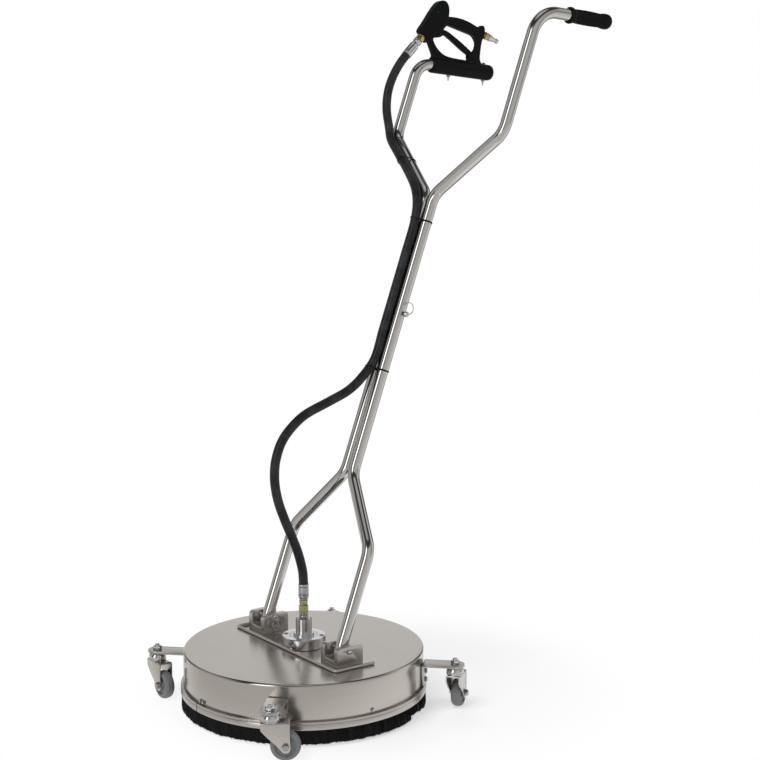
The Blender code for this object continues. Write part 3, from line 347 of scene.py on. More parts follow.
def deck_steel():
    """Brushed stainless sheet: straight grain on top, grain round the wall, a smooth rolled edge."""
    look = Look("stainless_sheet_brushed")
    x, y, height = look.about_deck()
    radius = look.radius(x, y)
    turn = look.turn(x, y)
    straight = look.noise(look.scaled(look.at, (14.0, 900.0, 14.0)), detail=5.0, roughness=0.7)
    coarse = look.noise(look.scaled(look.at, (3.0, 60.0, 3.0)), roughness=0.6)
    around = look.noise(look.wound(turn, height, 16.0, 1300.0), detail=5.0, roughness=0.7)
    around_coarse = look.noise(look.wound(turn, height, 6.0, 120.0), roughness=0.6)
    side = look.ramp(radius, DECK_R - 0.0035, DECK_R - 0.0010)
    lines = look.crossfade(side, straight, around)
    bands = look.crossfade(side, coarse, around_coarse)
    cloud = look.noise(look.at, scale=5.0)
    edge = look.math(
        "MULTIPLY",
        look.ramp(radius, DECK_R - 0.0065, DECK_R - 0.0045),
        look.ramp(height, DECK_TOP - 0.0075, DECK_TOP - 0.0055),
    )
    tone = look.tinted((0.515, 0.478, 0.443), cloud, factor=0.06)
    tone = look.tinted(look.tinted(tone, bands, factor=0.10), lines, factor=0.10)
    rough = look.linear(lines, slope=0.09, start=0.165)
    rough = look.math("ADD", rough, look.spread(cloud, 0.0, width=0.08))
    edge_roughness = 0.10
    rough = look.math(
        "ADD",
        look.math("MULTIPLY", rough, look.math("SUBTRACT", 1.0, edge)),
        look.math("MULTIPLY", edge, edge_roughness),
    )
    normal = look.bump(lines, strength=0.12, distance=0.00004)
    slow = look.noise(look.at, scale=6.5, detail=1.0, roughness=0.3)
    normal = look.bump(slow, strength=0.35, distance=0.0015, normal=normal)
    return look.finish(tone, rough, metallic=1.0, normal=normal, Anisotropic=0.35)


def polymer(name, colour, roughness, grain, depth, bump, specular, edge=0.0):
    """Plastic or rubber with a fine pebbled skin (grain: its scale) and lighter edges, partly rubbed
    and partly a painted highlight.
    """
    look = Look(name)
    skin = look.noise(look.at, scale=grain, roughness=0.6)
    cloud = look.noise(look.at, scale=26.0, detail=4.0, roughness=0.55)
    tone = look.tinted(colour, cloud, factor=0.12)
    if edge:
        # Lighter convex edges: partly rubbed wear, partly a painted highlight.
        rub_and_highlight_tone = tuple(c * 2.6 + 0.01 for c in colour)
        tone = look.worn(tone, 0.51, 0.60, share=edge, colour=rub_and_highlight_tone)
    rough = look.math(
        "ADD", look.spread(cloud, roughness, width=0.14), look.spread(skin, 0.0, width=0.08)
    )
    normal = look.bump(skin, bump, depth)
    return look.finish(tone, rough, metallic=0.0, normal=normal, Specular_IOR_Level=specular)


def hose_rubber():
    """Hose cover: a fine cloth impression that winds round it, and a dusty bloom."""
    look = Look("hose_cover_rubber")
    u, v, _ = look.split(look.uv)    # u: turns about the hose; v: metres along it

    def wave(turns):
        return look.math("SINE", look.math("MULTIPLY", turns, 2 * math.pi))

    wind = wave(look.math("ADD", look.math("MULTIPLY", v, 520.0), u))
    cross = wave(look.math("ADD", look.math("MULTIPLY", v, 260.0), look.math("MULTIPLY", u, -22.0)))
    weave = look.linear(look.math("ADD", wind, cross), slope=0.25, start=0.5)
    cloud = look.noise(look.at, scale=30.0, detail=5.0, roughness=0.6)
    bloom = look.ramp(cloud, 0.38, 0.68)
    tone = look.mix(bloom, (0.0060, 0.0062, 0.0070), (0.0180, 0.0185, 0.0205))
    rough = look.linear(cloud, slope=0.22, start=0.26)
    normal = look.bump(weave, strength=0.30, distance=0.00018)
    fine = look.noise(look.at, scale=700.0, detail=2.0)
    normal = look.bump(fine, strength=0.20, distance=0.0001, normal=normal)
    return look.finish(tone, rough, metallic=0.0, normal=normal, Specular_IOR_Level=0.32)


def bristles():
    """Black strands that run down the skirt."""
    look = Look("skirt_bristle")
    x, y, height = look.about_deck()
    strands = look.noise(look.wound(look.turn(x, y), height, 2600.0, 18.0), roughness=0.7)
    light = look.ramp(strands, 0.40, 0.72)
    tone = look.mix(light, (0.0022, 0.0022, 0.0024), (0.0095, 0.0095, 0.0100))
    rough = look.linear(strands, slope=0.3, start=0.42)
    normal = look.bump(strands, strength=0.6, distance=0.0006)
    return look.finish(tone, rough, metallic=0.0, normal=normal, Specular_IOR_Level=0.14)


def wheel_rubber():
    """Grey rubber with dark specks."""
    look = Look("grey_wheel_rubber")
    cloud = look.noise(look.at, scale=55.0, detail=5.0, roughness=0.6)
    specks = look.ramp(look.noise(look.at, scale=420.0, detail=2.0), 0.62, 0.74)
    tone = look.mix(cloud, (0.118, 0.121, 0.124), (0.168, 0.171, 0.175))
    tone = look.mix(look.math("MULTIPLY", specks, 0.35), tone, (0.075, 0.072, 0.070))
    rough = look.linear(cloud, slope=0.2, start=0.42)
    skin = look.noise(look.at, scale=600.0, roughness=0.6)
    return look.finish(tone, rough, 0.0, look.bump(skin, strength=0.3, distance=0.00015))


def bead_blast(name, colour, roughness):
    """Zinc with a fine satin tooth."""
    look = Look(name)
    tooth = look.noise(look.at, scale=1400.0, detail=2.0, roughness=0.6)
    cloud = look.noise(look.at, scale=40.0)
    tone = look.tinted(colour, cloud, factor=0.10)
    rough = look.math(
        "ADD", look.spread(cloud, roughness, width=0.12), look.spread(tooth, 0.0, width=0.08)
    )
    return look.finish(tone, rough, 1.0, look.bump(tooth, strength=0.25, distance=0.00005))


def turned_alloy():
    """Aluminium turned on a lathe: fine rings about the swivel's axis."""
    look = Look("turned_aluminium")
    x, y, height = look.about_deck()
    radius = look.radius(x, y)
    turn = look.turn(x, y)
    ring_scale, turn_scale = 2600.0, 9.0
    rings = look.noise(look.join(
        look.math("MULTIPLY", radius, ring_scale),
        look.math("MULTIPLY", height, ring_scale),
        look.math("MULTIPLY", turn, turn_scale),
    ), roughness=0.6)
    cloud = look.noise(look.at, scale=30.0)
    tone = look.tinted((0.66, 0.66, 0.665), cloud, factor=0.07)
    tone = look.tinted(tone, rings, factor=0.10)
    # Lighter convex edges: partly wear, partly a painted highlight.
    tone = look.worn(tone, 0.505, 0.55, share=0.5, colour=(0.86, 0.86, 0.87))
    rough = look.linear(rings, slope=0.12, start=0.17)
    normal = look.bump(rings, strength=0.15, distance=0.00005)
    return look.finish(tone, rough, metallic=1.0, normal=normal, Anisotropic=0.4)


def brass(name, colour, roughness, tarnish):
    """Yellow metal, clouded with its tarnish colour and bright at the edges, partly from wear and
    partly a painted highlight.
    """
    look = Look(name)
    cloud = look.noise(look.at, scale=90.0, detail=5.0, roughness=0.65)
    fine = look.noise(look.at, scale=900.0, detail=2.0)
    tone = look.mix(look.ramp(cloud, 0.40, 0.75, top=0.8), colour, tarnish)
    # Lighter convex edges: partly wear, partly a painted highlight.
    tone = look.worn(tone, 0.51, 0.57, share=0.5, colour=brighter(colour, 1.3))
    rough = look.spread(cloud, roughness, width=0.22)
    return look.finish(tone, rough, 1.0, look.bump(fine, strength=0.2, distance=0.00005))


DECK_STEEL = deck_steel()
TUBE_STEEL = steel(
    "stainless_tube_polished", (0.60, 0.585, 0.565), roughness=0.085, grain=(700.0, 22.0, 22.0),
    streak=0.05, rough_streak=0.05, mottle=9.0, mottled=0.05, bump=0.05, depth=0.00003)
BAND_STEEL = steel(
    "stainless_band", (0.50, 0.465, 0.435), roughness=0.27, grain=(40.0, 40.0, 1500.0),
    streak=0.10, rough_streak=0.10, mottle=8.0, mottled=0.08, bump=0.12, depth=0.00005)
# edge in these steels lightens convex edges: partly wear, partly a painted highlight.
BLOCK_STEEL = steel(
    "milled_stainless", (0.52, 0.492, 0.468), roughness=0.36, grain=(60.0, 900.0, 60.0),
    streak=0.14, rough_streak=0.12, mottle=14.0, mottled=0.12, bump=0.16, depth=0.00006, edge=0.7)
PLATE_STEEL = steel(
    "bracket_plate_brushed", (0.37, 0.35, 0.33), roughness=0.22, grain=(420.0, 420.0, 30.0),
    streak=0.10, rough_streak=0.08, mottle=18.0, mottled=0.06, bump=0.08, depth=0.00003, edge=0.6)
FORK_STEEL = steel(
    "pressed_fork_steel", (0.52, 0.485, 0.455), roughness=0.27, grain=(260.0, 260.0, 260.0),
    streak=0.08, rough_streak=0.08, mottle=34.0, mottled=0.10, bump=0.14, depth=0.00008,
    edge=0.5, wave=0.3)
ROD_STEEL = steel(
    "drawn_rod_steel", (0.74, 0.70, 0.66), roughness=0.46, grain=(30.0, 700.0, 700.0),
    streak=0.12, rough_streak=0.12, mottle=20.0, mottled=0.10, bump=0.12, depth=0.00004)
CHROME = steel(
    "chrome_plate", (0.60, 0.60, 0.605), roughness=0.085, grain=(300.0, 300.0, 300.0),
    streak=0.05, rough_streak=0.05, mottle=60.0, mottled=0.07, bump=0.10, depth=0.00005)
BLACK_STEEL = steel(
    "black_oxide_steel", (0.045, 0.045, 0.047), roughness=0.36, grain=(500.0, 500.0, 500.0),
    streak=0.10, rough_streak=0.10, mottle=120.0, mottled=0.10, bump=0.1, depth=0.00004)
BOLT_STEEL = steel(
    "bolt_steel", (0.36, 0.347, 0.334), roughness=0.24, grain=(500.0, 500.0, 500.0),
    streak=0.14, rough_streak=0.14, mottle=120.0, mottled=0.15, bump=0.2, depth=0.00006, edge=0.5)
ROTOR_STEEL = steel(
    "rotor_steel", (0.52, 0.50, 0.48), roughness=0.22, grain=(20.0, 500.0, 500.0),
    streak=0.10, rough_streak=0.10, mottle=20.0, mottled=0.10, bump=0.12, depth=0.00005)
ALLOY = turned_alloy()
ZINC = bead_blast("satin_zinc", (0.52, 0.525, 0.545), roughness=0.46)
BRIGHT_ZINC = bead_blast("bright_zinc", (0.66, 0.66, 0.665), roughness=0.17)
BRASS = brass("brass", (0.46, 0.335, 0.135), roughness=0.26, tarnish=(0.26, 0.18, 0.080))
YELLOW_ZINC = brass(
    "yellow_zinc", (0.44, 0.425, 0.245), roughness=0.24, tarnish=(0.28, 0.215, 0.115))
BRISTLE = bristles()
HOSE_RUBBER = hose_rubber()
# edge in these polymers lightens convex edges: partly rubbed wear, partly a painted highlight.
GRIP_RUBBER = polymer(
    "grip_rubber_black", (0.0040, 0.0042, 0.0044), roughness=0.50,
    grain=650.0, depth=0.00015, bump=0.4, edge=0.25, specular=0.07)
GUN_PLASTIC = polymer(
    "gun_plastic_black", (0.0038, 0.0042, 0.0042), roughness=0.42,
    grain=1100.0, depth=0.00012, bump=0.4, edge=0.35, specular=0.08)
TIE_NYLON = polymer(
    "tie_nylon_black", (0.005, 0.005, 0.006), roughness=0.32,
    grain=1600.0, depth=0.00005, bump=0.2, specular=0.2)
WHEEL_RUBBER = wheel_rubber()


# ------------------------------------------------------------ working with solids
def working(name, data):
    made = bpy.data.objects.new(name, data)
    WORK.objects.link(made)
    return made


def discard(shape):
    bpy.data.objects.remove(shape, do_unlink=True)


def duplicate(shape):
    return working("copy", shape.data.copy())


def from_bmesh(mesh):
    bmesh.ops.recalc_face_normals(mesh, faces=mesh.faces)
    data = bpy.data.meshes.new("work")
    mesh.to_mesh(data)
    mesh.free()
    return working("work", data)


def solid(shape):
    """The same shape as a plain mesh at the world's origin, with its modifiers applied."""
    bpy.context.view_layer.update()
    graph = bpy.context.evaluated_depsgraph_get()
    data = bpy.data.meshes.new_from_object(shape.evaluated_get(graph))
    data.transform(shape.matrix_world)
    mesh = bmesh.new()
    mesh.from_mesh(data)
    bmesh.ops.remove_doubles(mesh, verts=mesh.verts, dist=2e-6)
    bmesh.ops.recalc_face_normals(mesh, faces=mesh.faces)
    mesh.to_mesh(data)
    mesh.free()
    made = working("solid", data)
    discard(shape)
    return made


def combine(base, add=(), cut=(), keep=()):
    """One solid from a base, what is joined to it, cut from it and what it is trimmed to."""
    base = solid(base)
    used = []
    for operation, tools in (("UNION", add), ("DIFFERENCE", cut), ("INTERSECT", keep)):
        for tool in tools:
            tool = solid(tool)
            modifier = base.modifiers.new(operation.lower(), "BOOLEAN")
            modifier.operation = operation
            modifier.solver = "EXACT"
            modifier.object = tool
            used.append(tool)
    made = solid(base)
    for tool in used:
        discard(tool)
    return made


def merged(*shapes):
    """Separate solids that make one piece, such as a group of fasteners."""
    mesh = bmesh.new()
    for shape in shapes:
        shape = solid(shape)
        mesh.from_mesh(shape.data)
        discard(shape)
    return from_bmesh(mesh)


def softened(shape, width):
    """Rounded edges."""
    shape = solid(shape)
    modifier = shape.modifiers.new("edge", "BEVEL")
    modifier.width = width
    modifier.segments = 2
    modifier.limit_method = "ANGLE"
    modifier.angle_limit = math.radians(40.0)
    modifier.use_clamp_overlap = True
    modifier.miter_outer = "MITER_ARC"
    return solid(shape)


def moved(shape, matrix):
    shape.matrix_world = matrix @ shape.matrix_world
    return shape


def standing(shape, x=0):
    """Stands a flat outline drawn as (Y, Z) in the plane of that X."""
    turn = Matrix(((0, 0, 1, 0), (1, 0, 0, 0), (0, 1, 0, 0), (0, 0, 0, 1)))
    return moved(shape, Matrix.Translation((x, 0, 0)) @ turn)


def upright(shape, depth=-1):
    """Stands a flat outline drawn as (X, Z) in the plane of Y = 0; depth 1 mirrors it in depth."""
    return moved(shape, Matrix(((1, 0, 0, 0), (0, 0, depth, 0), (0, 1, 0, 0), (0, 0, 0, 1))))


def piece(shape, name, look, body, slot, *nodes, angle=38.0):
    """Puts a finished shape on its body, in place of the CAD nodes it stands for.

    angle: edges sharper than this stay hard. body None: the shape is left on no body.
    """
    shape = solid(shape)
    shape.data.transform(Matrix.Translation(DECK))
    shape.name = name
    shape.data.name = name
    shape.data.materials.clear()
    shape.data.materials.append(look)
    WORK.objects.unlink(shape)
    VISUAL.objects.link(shape)
    shape.data.shade_smooth()
    shape.data.set_sharp_from_angle(angle=math.radians(angle))
    if body:
        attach(shape, body)
    if nodes:
        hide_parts(*nodes)
    return shape


# ------------------------------------------------------------ outlines and paths
def clamped(value):
    return min(1.0, max(0.0, value))


def angles(steps):
    return [2 * math.pi * k / steps for k in range(steps)]


def circle(centre, radius, steps):
    return [
        (centre[0] + radius * math.cos(turn), centre[1] + radius * math.sin(turn))
        for turn in angles(steps)
    ]


def rounded(corners, radii, steps=6):
    """A closed outline with rounded corners; a radius gives way where its sides are short."""
    out = []
    for i, radius in enumerate(radii):
        corner = Vector(corners[i])
        back = Vector(corners[i - 1]) - corner
        ahead = Vector(corners[(i + 1) % len(corners)]) - corner
        short = back.length < 1e-9 or ahead.length < 1e-9
        if radius <= 0 or short or abs(back.angle(ahead) - math.pi) < 1e-3:
            out.append(tuple(corner))
            continue
        half = back.angle(ahead) / 2
        reach = min(radius / math.tan(half), 0.46 * min(back.length, ahead.length))
        radius = reach * math.tan(half)
        back.normalize()
        ahead.normalize()
        centre = corner + (back + ahead).normalized() * (radius / math.sin(half))
        start = corner + back * reach - centre
        end = corner + ahead * reach - centre
        first = math.atan2(start.y, start.x)
        sweep_angle = math.atan2(start.x * end.y - start.y * end.x, start.dot(end))
        for k in range(steps + 1):
            turn = first + sweep_angle * k / steps
            out.append((centre.x + radius * math.cos(turn), centre.y + radius * math.sin(turn)))
    return out


def eased(profile, radius, steps=4):
    """A turned profile with its corners broken; points on the axis stay as they are."""
    return rounded(profile, [0.0 if reach < 1e-7 else radius for reach, _ in profile], steps)


def softer(loop):
    """Two rounds of corner cutting on a closed outline."""
    for _ in range(2):
        cut = []
        for start, end in zip(loop, loop[1:] + loop[:1]):
            for near, far in ((0.75, 0.25), (0.25, 0.75)):
                cut.append((start[0] * near + end[0] * far, start[1] * near + end[1] * far))
        loop = cut
    return loop


def hull(points):
    """The convex outline of some points."""
    points = sorted(set((round(x, 6), round(y, 6)) for x, y in points))

    def turns_wrong(first, second, third):
        return (
            (second[0] - first[0]) * (third[1] - first[1])
            - (second[1] - first[1]) * (third[0] - first[0])
        ) <= 0

    def half(sequence):
        out = []
        for point in sequence:
            while len(out) > 1 and turns_wrong(out[-2], out[-1], point):
                out.pop()
            out.append(point)
        return out[:-1]

    return half(points) + half(points[::-1])


def bent(points, radii, steps=14):
    """A chain of points with arcs at its inner corners; radii is one radius or one for each."""
    points = [Vector(point) for point in points]
    radii = radii if isinstance(radii, list) else [radii] * (len(points) - 2)
    out = [points[0]]
    for before, corner, after, radius in zip(points, points[1:], points[2:], radii):
        back, ahead = (before - corner).normalized(), (after - corner).normalized()
        half = back.angle(ahead) / 2
        reach = radius / math.tan(half)
        centre = corner + (back + ahead).normalized() * (radius / math.sin(half))
        start, end = corner + back * reach - centre, corner + ahead * reach - centre
        total = start.angle(end)
        for k in range(steps + 1):
            t = k / steps
            arm = start * math.sin((1 - t) * total) + end * math.sin(t * total)
            out.append(centre + arm / math.sin(total))
    out.append(points[-1])
    return out


def smooth_path(points, per_span):
    """A Catmull-Rom curve through the points."""
    points = [Vector(point) for point in points]
    ends = [points[0] * 2 - points[1]] + points + [points[-1] * 2 - points[-2]]
    out = []
    for a, b, c, d in zip(ends, ends[1:], ends[2:], ends[3:]):
        for k in range(per_span):
            t = k / per_span
            square = (2 * a - 5 * b + 4 * c - d) * t * t
            cube = (3 * b - a - 3 * c + d) * t ** 3
            out.append(0.5 * (2 * b + (c - a) * t + square + cube))
    return out + [points[-1]]


def spaced(points, step):
    """Extra points on long straight runs."""
    out = [Vector(points[0])]
    for start, end in zip(points, points[1:]):
        start, end = Vector(start), Vector(end)
        count = max(1, int((end - start).length / step))
        out += [start.lerp(end, (k + 1) / count) for k in range(count)]
    return out


def frame_point(x, run, front=0.0):
    """A handle point: x across, run up the lean from the pivot, front out of its plane."""
    return Vector((
        x,
        PIVOT_Y + math.sin(LEAN) * run - math.cos(LEAN) * front,
        PIVOT_Z + math.cos(LEAN) * run + math.sin(LEAN) * front,
    ))


GRIP_CORNER = frame_point(ARM_X, GRIP_RUN)
GUN_CORNER = frame_point(-ARM_X, GUN_RUN)


# ------------------------------------------------------------ basic solids
def box(low, high):
    mesh = bmesh.new()
    bmesh.ops.create_cube(mesh, size=1.0)
    low, high = Vector(low), Vector(high)
    size, centre = high - low, (high + low) / 2
    place = Matrix.Translation(centre) @ Matrix.Diagonal((*size, 1.0))
    bmesh.ops.transform(mesh, matrix=place, verts=mesh.verts)
    return from_bmesh(mesh)


def bridge(mesh, first, second):
    """Quads between two rings of the same count."""
    count = len(first)
    faces = []
    for k in range(count):
        after = (k + 1) % count
        faces.append(mesh.faces.new((first[k], first[after], second[after], second[k])))
    return faces


def lathe(profile, steps, at=(0, 0, 0), axis=(0, 0, 1), turn=0.0):
    """A solid turned from (radius, height) points, closed unless both ends are on the axis."""
    mesh = bmesh.new()
    rings = []
    for radius, z in profile:
        if radius < 1e-7:
            places = [(0, 0, z)]
        else:
            places = [(radius * math.cos(a), radius * math.sin(a), z) for a in angles(steps)]
        rings.append([mesh.verts.new(place) for place in places])
    pairs = list(zip(rings, rings[1:]))
    if len(rings[0]) > 1 or len(rings[-1]) > 1:
        pairs.append((rings[-1], rings[0]))
    for first, second in pairs:
        if len(first) > 1 and len(second) > 1:
            bridge(mesh, first, second)
        elif len(first) > 1 or len(second) > 1:
            for k in range(steps):
                after = (k + 1) % steps
                if len(first) == 1:
                    mesh.faces.new((first[0], second[after], second[k]))
                else:
                    mesh.faces.new((first[k], first[after], second[0]))
    made = from_bmesh(mesh)
    tilt = Vector(axis).normalized().to_track_quat("Z", "Y").to_matrix().to_4x4()
    made.matrix_world = Matrix.Translation(Vector(at)) @ tilt @ Matrix.Rotation(turn, 4, "Z")
    return made


def disc(radius, low, high, steps, at=(0, 0, 0), axis=(0, 0, 1), ease=0.0, turn=0.0):
    """A plain cylinder between two heights on its axis; ease breaks its rims."""
    profile = [(0.0, high), (radius, high), (radius, low), (0.0, low)]
    return lathe(eased(profile, ease) if ease else profile, steps, at, axis, turn)


def rod(radius, start, end, segments=40, radius_end=None, chamfer=0.0):
    start, end = Vector(start), Vector(end)
    length = (end - start).length
    radius_end = radius if radius_end is None else radius_end
    if chamfer:
        profile = [
            (0.0, length), (radius_end - chamfer, length), (radius_end, length - chamfer),
            (radius, chamfer), (radius - chamfer, 0.0), (0.0, 0.0),
        ]
    else:
        profile = [(0.0, length), (radius_end, length), (radius, 0.0), (0.0, 0.0)]
    return lathe(profile, segments, start, end - start)


def hexagon(corner_r, start, end, turn=0.0, chamfer=0.0006):
    """A hexagonal bar or nut whose corners are turned off at both ends."""
    start, end = Vector(start), Vector(end)
    length = (end - start).length
    body = disc(corner_r, 0.0, length, 6, start, end - start, turn=turn)
    face_r, wide_r = corner_r * math.cos(math.pi / 6) * 0.97, corner_r * 1.02
    trim = lathe([
        (0.0, length + 1e-5), (face_r, length + 1e-5), (wide_r, length - chamfer * 2),
        (wide_r, chamfer * 2), (face_r, -1e-5), (0.0, -1e-5),
    ], 36, start, end - start, turn)
    return combine(body, keep=[trim])


def bolt(at, out, head_r, head_h, washer):
    """A hex-headed bolt on its washer, standing out from a face."""
    at, out = Vector(at), Vector(out).normalized()
    seat = at + out * washer
    return merged(
        hexagon(head_r, seat, seat + out * head_h, turn=0.3, chamfer=0.0004),
        rod(head_r * 1.35, at + out * 0.0001, seat, 32, chamfer=0.0002),
    )


def transport(points, closed):
    """Tangents, and normals carried along the chain without needless twist."""
    count = len(points)
    tangents = []
    for i in range(count):
        before = points[i - 1] if closed or i > 0 else points[0]
        after = points[(i + 1) % count] if closed or i < count - 1 else points[-1]
        tangents.append((after - before).normalized())
    normals = [tangents[0].orthogonal().normalized()]

    def carried(old, new):
        return old.rotation_difference(new) @ normals[-1]

    for old, new in zip(tangents, tangents[1:]):
        normal = carried(old, new)
        normals.append((normal - new * normal.dot(new)).normalized())
    if closed:
        last = carried(tangents[-1], tangents[0])
        twist = math.atan2(last.cross(normals[0]).dot(tangents[0]), last.dot(normals[0]))
        normals = [
            Matrix.Rotation(twist * i / count, 3, tangents[i]) @ normal
            for i, normal in enumerate(normals)
        ]
    return tangents, normals


def sweep(points, radius, segments=32, closed=False, bore=0.0, dome=False):
    """A bar, wire or tube along a chain of points, with its length in metres in the UVs."""
    points = [Vector(point) for point in points]
    stations = [(*station, radius) for station in zip(points, *transport(points, closed))]
    if dome:
        for sign, index in ((-1, 0), (1, -1)):
            point, tangent, normal, _ = stations[index]
            cap = [
                (point + tangent * (sign * radius * math.sin(a)), tangent, normal,
                 radius * math.cos(a))
                for a in map(math.radians, (20, 40, 60, 78))
            ]
            stations = cap[::-1] + stations if sign < 0 else stations + cap
    mesh = bmesh.new()
    layer = mesh.loops.layers.uv.new("UVMap")
    length = [0.0]
    for before, after in zip(stations, stations[1:]):
        length.append(length[-1] + (after[0] - before[0]).length)

    def ring(station, reach):
        point, tangent, normal, _ = station
        side = tangent.cross(normal)
        return [
            mesh.verts.new(point + (normal * math.cos(a) + side * math.sin(a)) * reach)
            for a in angles(segments)
        ]

    def skin(rings):
        count = len(rings) if closed else len(rings) - 1
        for i in range(count):
            low = length[i]
            high = length[i + 1] if i + 1 < len(length) else low + 0.001
            for k, face in enumerate(bridge(mesh, rings[i], rings[(i + 1) % len(rings)])):
                corners = ((k, low), (k + 1, low), (k + 1, high), (k, high))
                for loop, (step, along) in zip(face.loops, corners):
                    loop[layer].uv = (step / segments, along)

    outer = [ring(station, station[3]) for station in stations]
    skin(outer)
    if bore:
        inner = [ring(station, bore) for station in stations]
        skin(inner)
        if not closed:
            bridge(mesh, outer[0], inner[0])
            bridge(mesh, outer[-1], inner[-1])
    elif not closed:
        mesh.faces.new(outer[0])
        mesh.faces.new(outer[-1])
    return from_bmesh(mesh)


def outline(loop, thickness, edge=0.0, steps=4):
    """A flat plate centred on its own XY plane, its rims rounded by edge."""
    curve = bpy.data.curves.new("outline", "CURVE")
    curve.dimensions = "2D"
    curve.fill_mode = "BOTH"
    curve.extrude = thickness / 2 - edge
    if edge:
        curve.bevel_depth = edge
        curve.bevel_resolution = steps
        curve.offset = -edge
    spline = curve.splines.new("POLY")
    spline.points.add(len(loop) - 1)
    for point, (x, y) in zip(spline.points, loop):
        point.co = (x, y, 0.0, 1.0)
    spline.use_cyclic_u = True
    return working("outline", curve)


# ------------------------------------------------------------ deck
def rim_arc(radius, start, end, steps):
    """The deck's rolled edge; degrees from straight up, outwards."""
    arc = [math.radians(start + (end - start) * k / steps) for k in range(steps + 1)]
    return [
        (DECK_R - RIM_R + radius * math.sin(a), DECK_TOP - RIM_R + radius * math.cos(a))
        for a in arc
    ]


def deck_shell():
    top_w = DECK_R - RIM_R - DECK_BORE
    wall_h = DECK_TOP - RIM_R - DECK_BOTTOM
    top = [(DECK_BORE + top_w * k / 22, DECK_TOP) for k in range(22)]
    wall = [(DECK_R, DECK_TOP - RIM_R - wall_h * k / 10) for k in range(1, 11)]
    profile = (
        top + rim_arc(RIM_R, 0, 90, 10) + wall + [(DECK_R - SHEET_T, DECK_BOTTOM)]
        + rim_arc(RIM_R - SHEET_T, 90, 0, 6) + [(DECK_BORE, DECK_TOP - SHEET_T)]
    )
    deck = solid(lathe(profile, 240))
    wander = 0.00035    # sheet metal is never quite flat
    for vertex in deck.data.vertices:
        place = vertex.co
        radius = math.hypot(place.x, place.y)
        if place.z > DECK_TOP - 0.004:
            lift = noise.noise(Vector((place.x * 7.0, place.y * 7.0, 3.0))) * wander
            fade = clamped((radius - 0.060) / 0.04) * clamped((DECK_R - 0.004 - radius) / 0.02)
            place.z += lift * fade
        elif radius > DECK_R - 0.004:
            seed = Vector((place.x * 5.0, place.y * 5.0, place.z * 9.0 + 8.0))
            push = noise.noise(seed) * wander
            fade = clamped((DECK_TOP - place.z) / 0.02)
            fade *= clamped((place.z - BAND_TOP - 0.004) / 0.02)
            place.x *= 1 + push * fade / radius
            place.y *= 1 + push * fade / radius
    piece(deck, "deck_shell", DECK_STEEL, "deck", "deck_steel", "deck_pan", angle=50)


# (radius, height): a band with a groove below its upper edge and a lip over the brush
BAND_PROFILE = [
    (BRUSH_IN, BAND_TOP), (BAND_R - 0.0010, BAND_TOP), (BAND_R - 0.0003, BAND_TOP - 0.0003),
    (BAND_R, BAND_TOP - 0.0010), (BAND_R, BAND_TOP - 0.0036),
    (BAND_R - 0.0004, BAND_TOP - 0.0042), (BAND_R - 0.0008, BAND_TOP - 0.0045),
    (BAND_R - 0.0008, BAND_TOP - 0.0054), (BAND_R - 0.0004, BAND_TOP - 0.0058),
    (BAND_R, BAND_TOP - 0.0066), (BAND_R, BAND_BOTTOM + 0.0006), (BAND_R - 0.0005, BAND_BOTTOM),
    (BRUSH_R + 0.0007, BAND_BOTTOM), (BRUSH_R + 0.0007, BAND_TOP - 0.0092),
    (BRUSH_R - 0.0010, BAND_TOP - 0.0080), (BRUSH_R - 0.0017, BAND_TOP - 0.0020),
    (BRUSH_IN, BAND_TOP - 0.0012),
]
# (bearing in degrees, height)
SKIRT_BOLTS = ((-88.6, 0.0586), (-86.1, 0.0586), (-1.0, 0.0590), (89.0, 0.0590), (179.0, 0.0590))


def clamp_band():
    """The band, split at the front."""
    split = box((-0.0014, -0.272, 0.030), (0.0010, -0.245, 0.060))
    band = combine(lathe(BAND_PROFILE, 240), cut=[split])
    piece(band, "clamp_band", BAND_STEEL, "deck", "deck_steel", "skirt_band", angle=30)


def skirt_bolts():
    bolts = []
    for bearing, z in SKIRT_BOLTS:
        out = Vector((math.cos(math.radians(bearing)), math.sin(math.radians(bearing)), 0))
        at = out * DECK_R + Vector((0, 0, z))
        bolts.append(bolt(at, out, head_r=0.0036, head_h=0.0030, washer=0.0008))
    piece(merged(*bolts), "skirt_bolts", BOLT_STEEL, "deck", "plated_steel")


def tip_height(turn):
    """Height of the bristle tips round the skirt. One stretch is worn short."""
    degrees = math.degrees(turn) % 360
    x, y = math.cos(turn), math.sin(turn)
    wander = (
        noise.noise(Vector((x * 9, y * 9, 1.0))) * 0.0022
        + noise.noise(Vector((x * 40, y * 40, 5.0))) * 0.0016
    )
    worn = 0.0090 if 24.6 < degrees < 33 else 0.0055 if 33 <= degrees < 41 else 0.0
    return BRUSH_TIP + 0.0012 + wander + worn


def brush_core(mesh, rng):
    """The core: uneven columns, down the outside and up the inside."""
    columns, rows, inset = 900, 6, 0.0003
    down = [j / rows for j in range(rows + 1)]
    grid = []
    for turn in angles(columns):
        low = tip_height(turn) + rng.uniform(-0.0005, 0.0007)
        column = []
        for outside, shares in ((True, down), (False, [1 - t for t in down])):
            for t in shares:
                z = (BAND_TOP - 0.0018) * (1 - t) + low * t
                flare = 0.0006 * t
                radius = BRUSH_R - inset + flare if outside else BRUSH_IN + inset - flare
                jitter = rng.uniform(-0.00035, 0.00035) if t > 0 else 0.0
                radius += jitter * min(1.0, t * 2)
                column.append(mesh.verts.new((radius * math.cos(turn), radius * math.sin(turn), z)))
        grid.append(column)
    for first, second in zip(grid, grid[1:] + grid[:1]):
        for j in range(len(first)):
            after = (j + 1) % len(first)
            mesh.faces.new((first[j], second[j], second[after], first[after]))


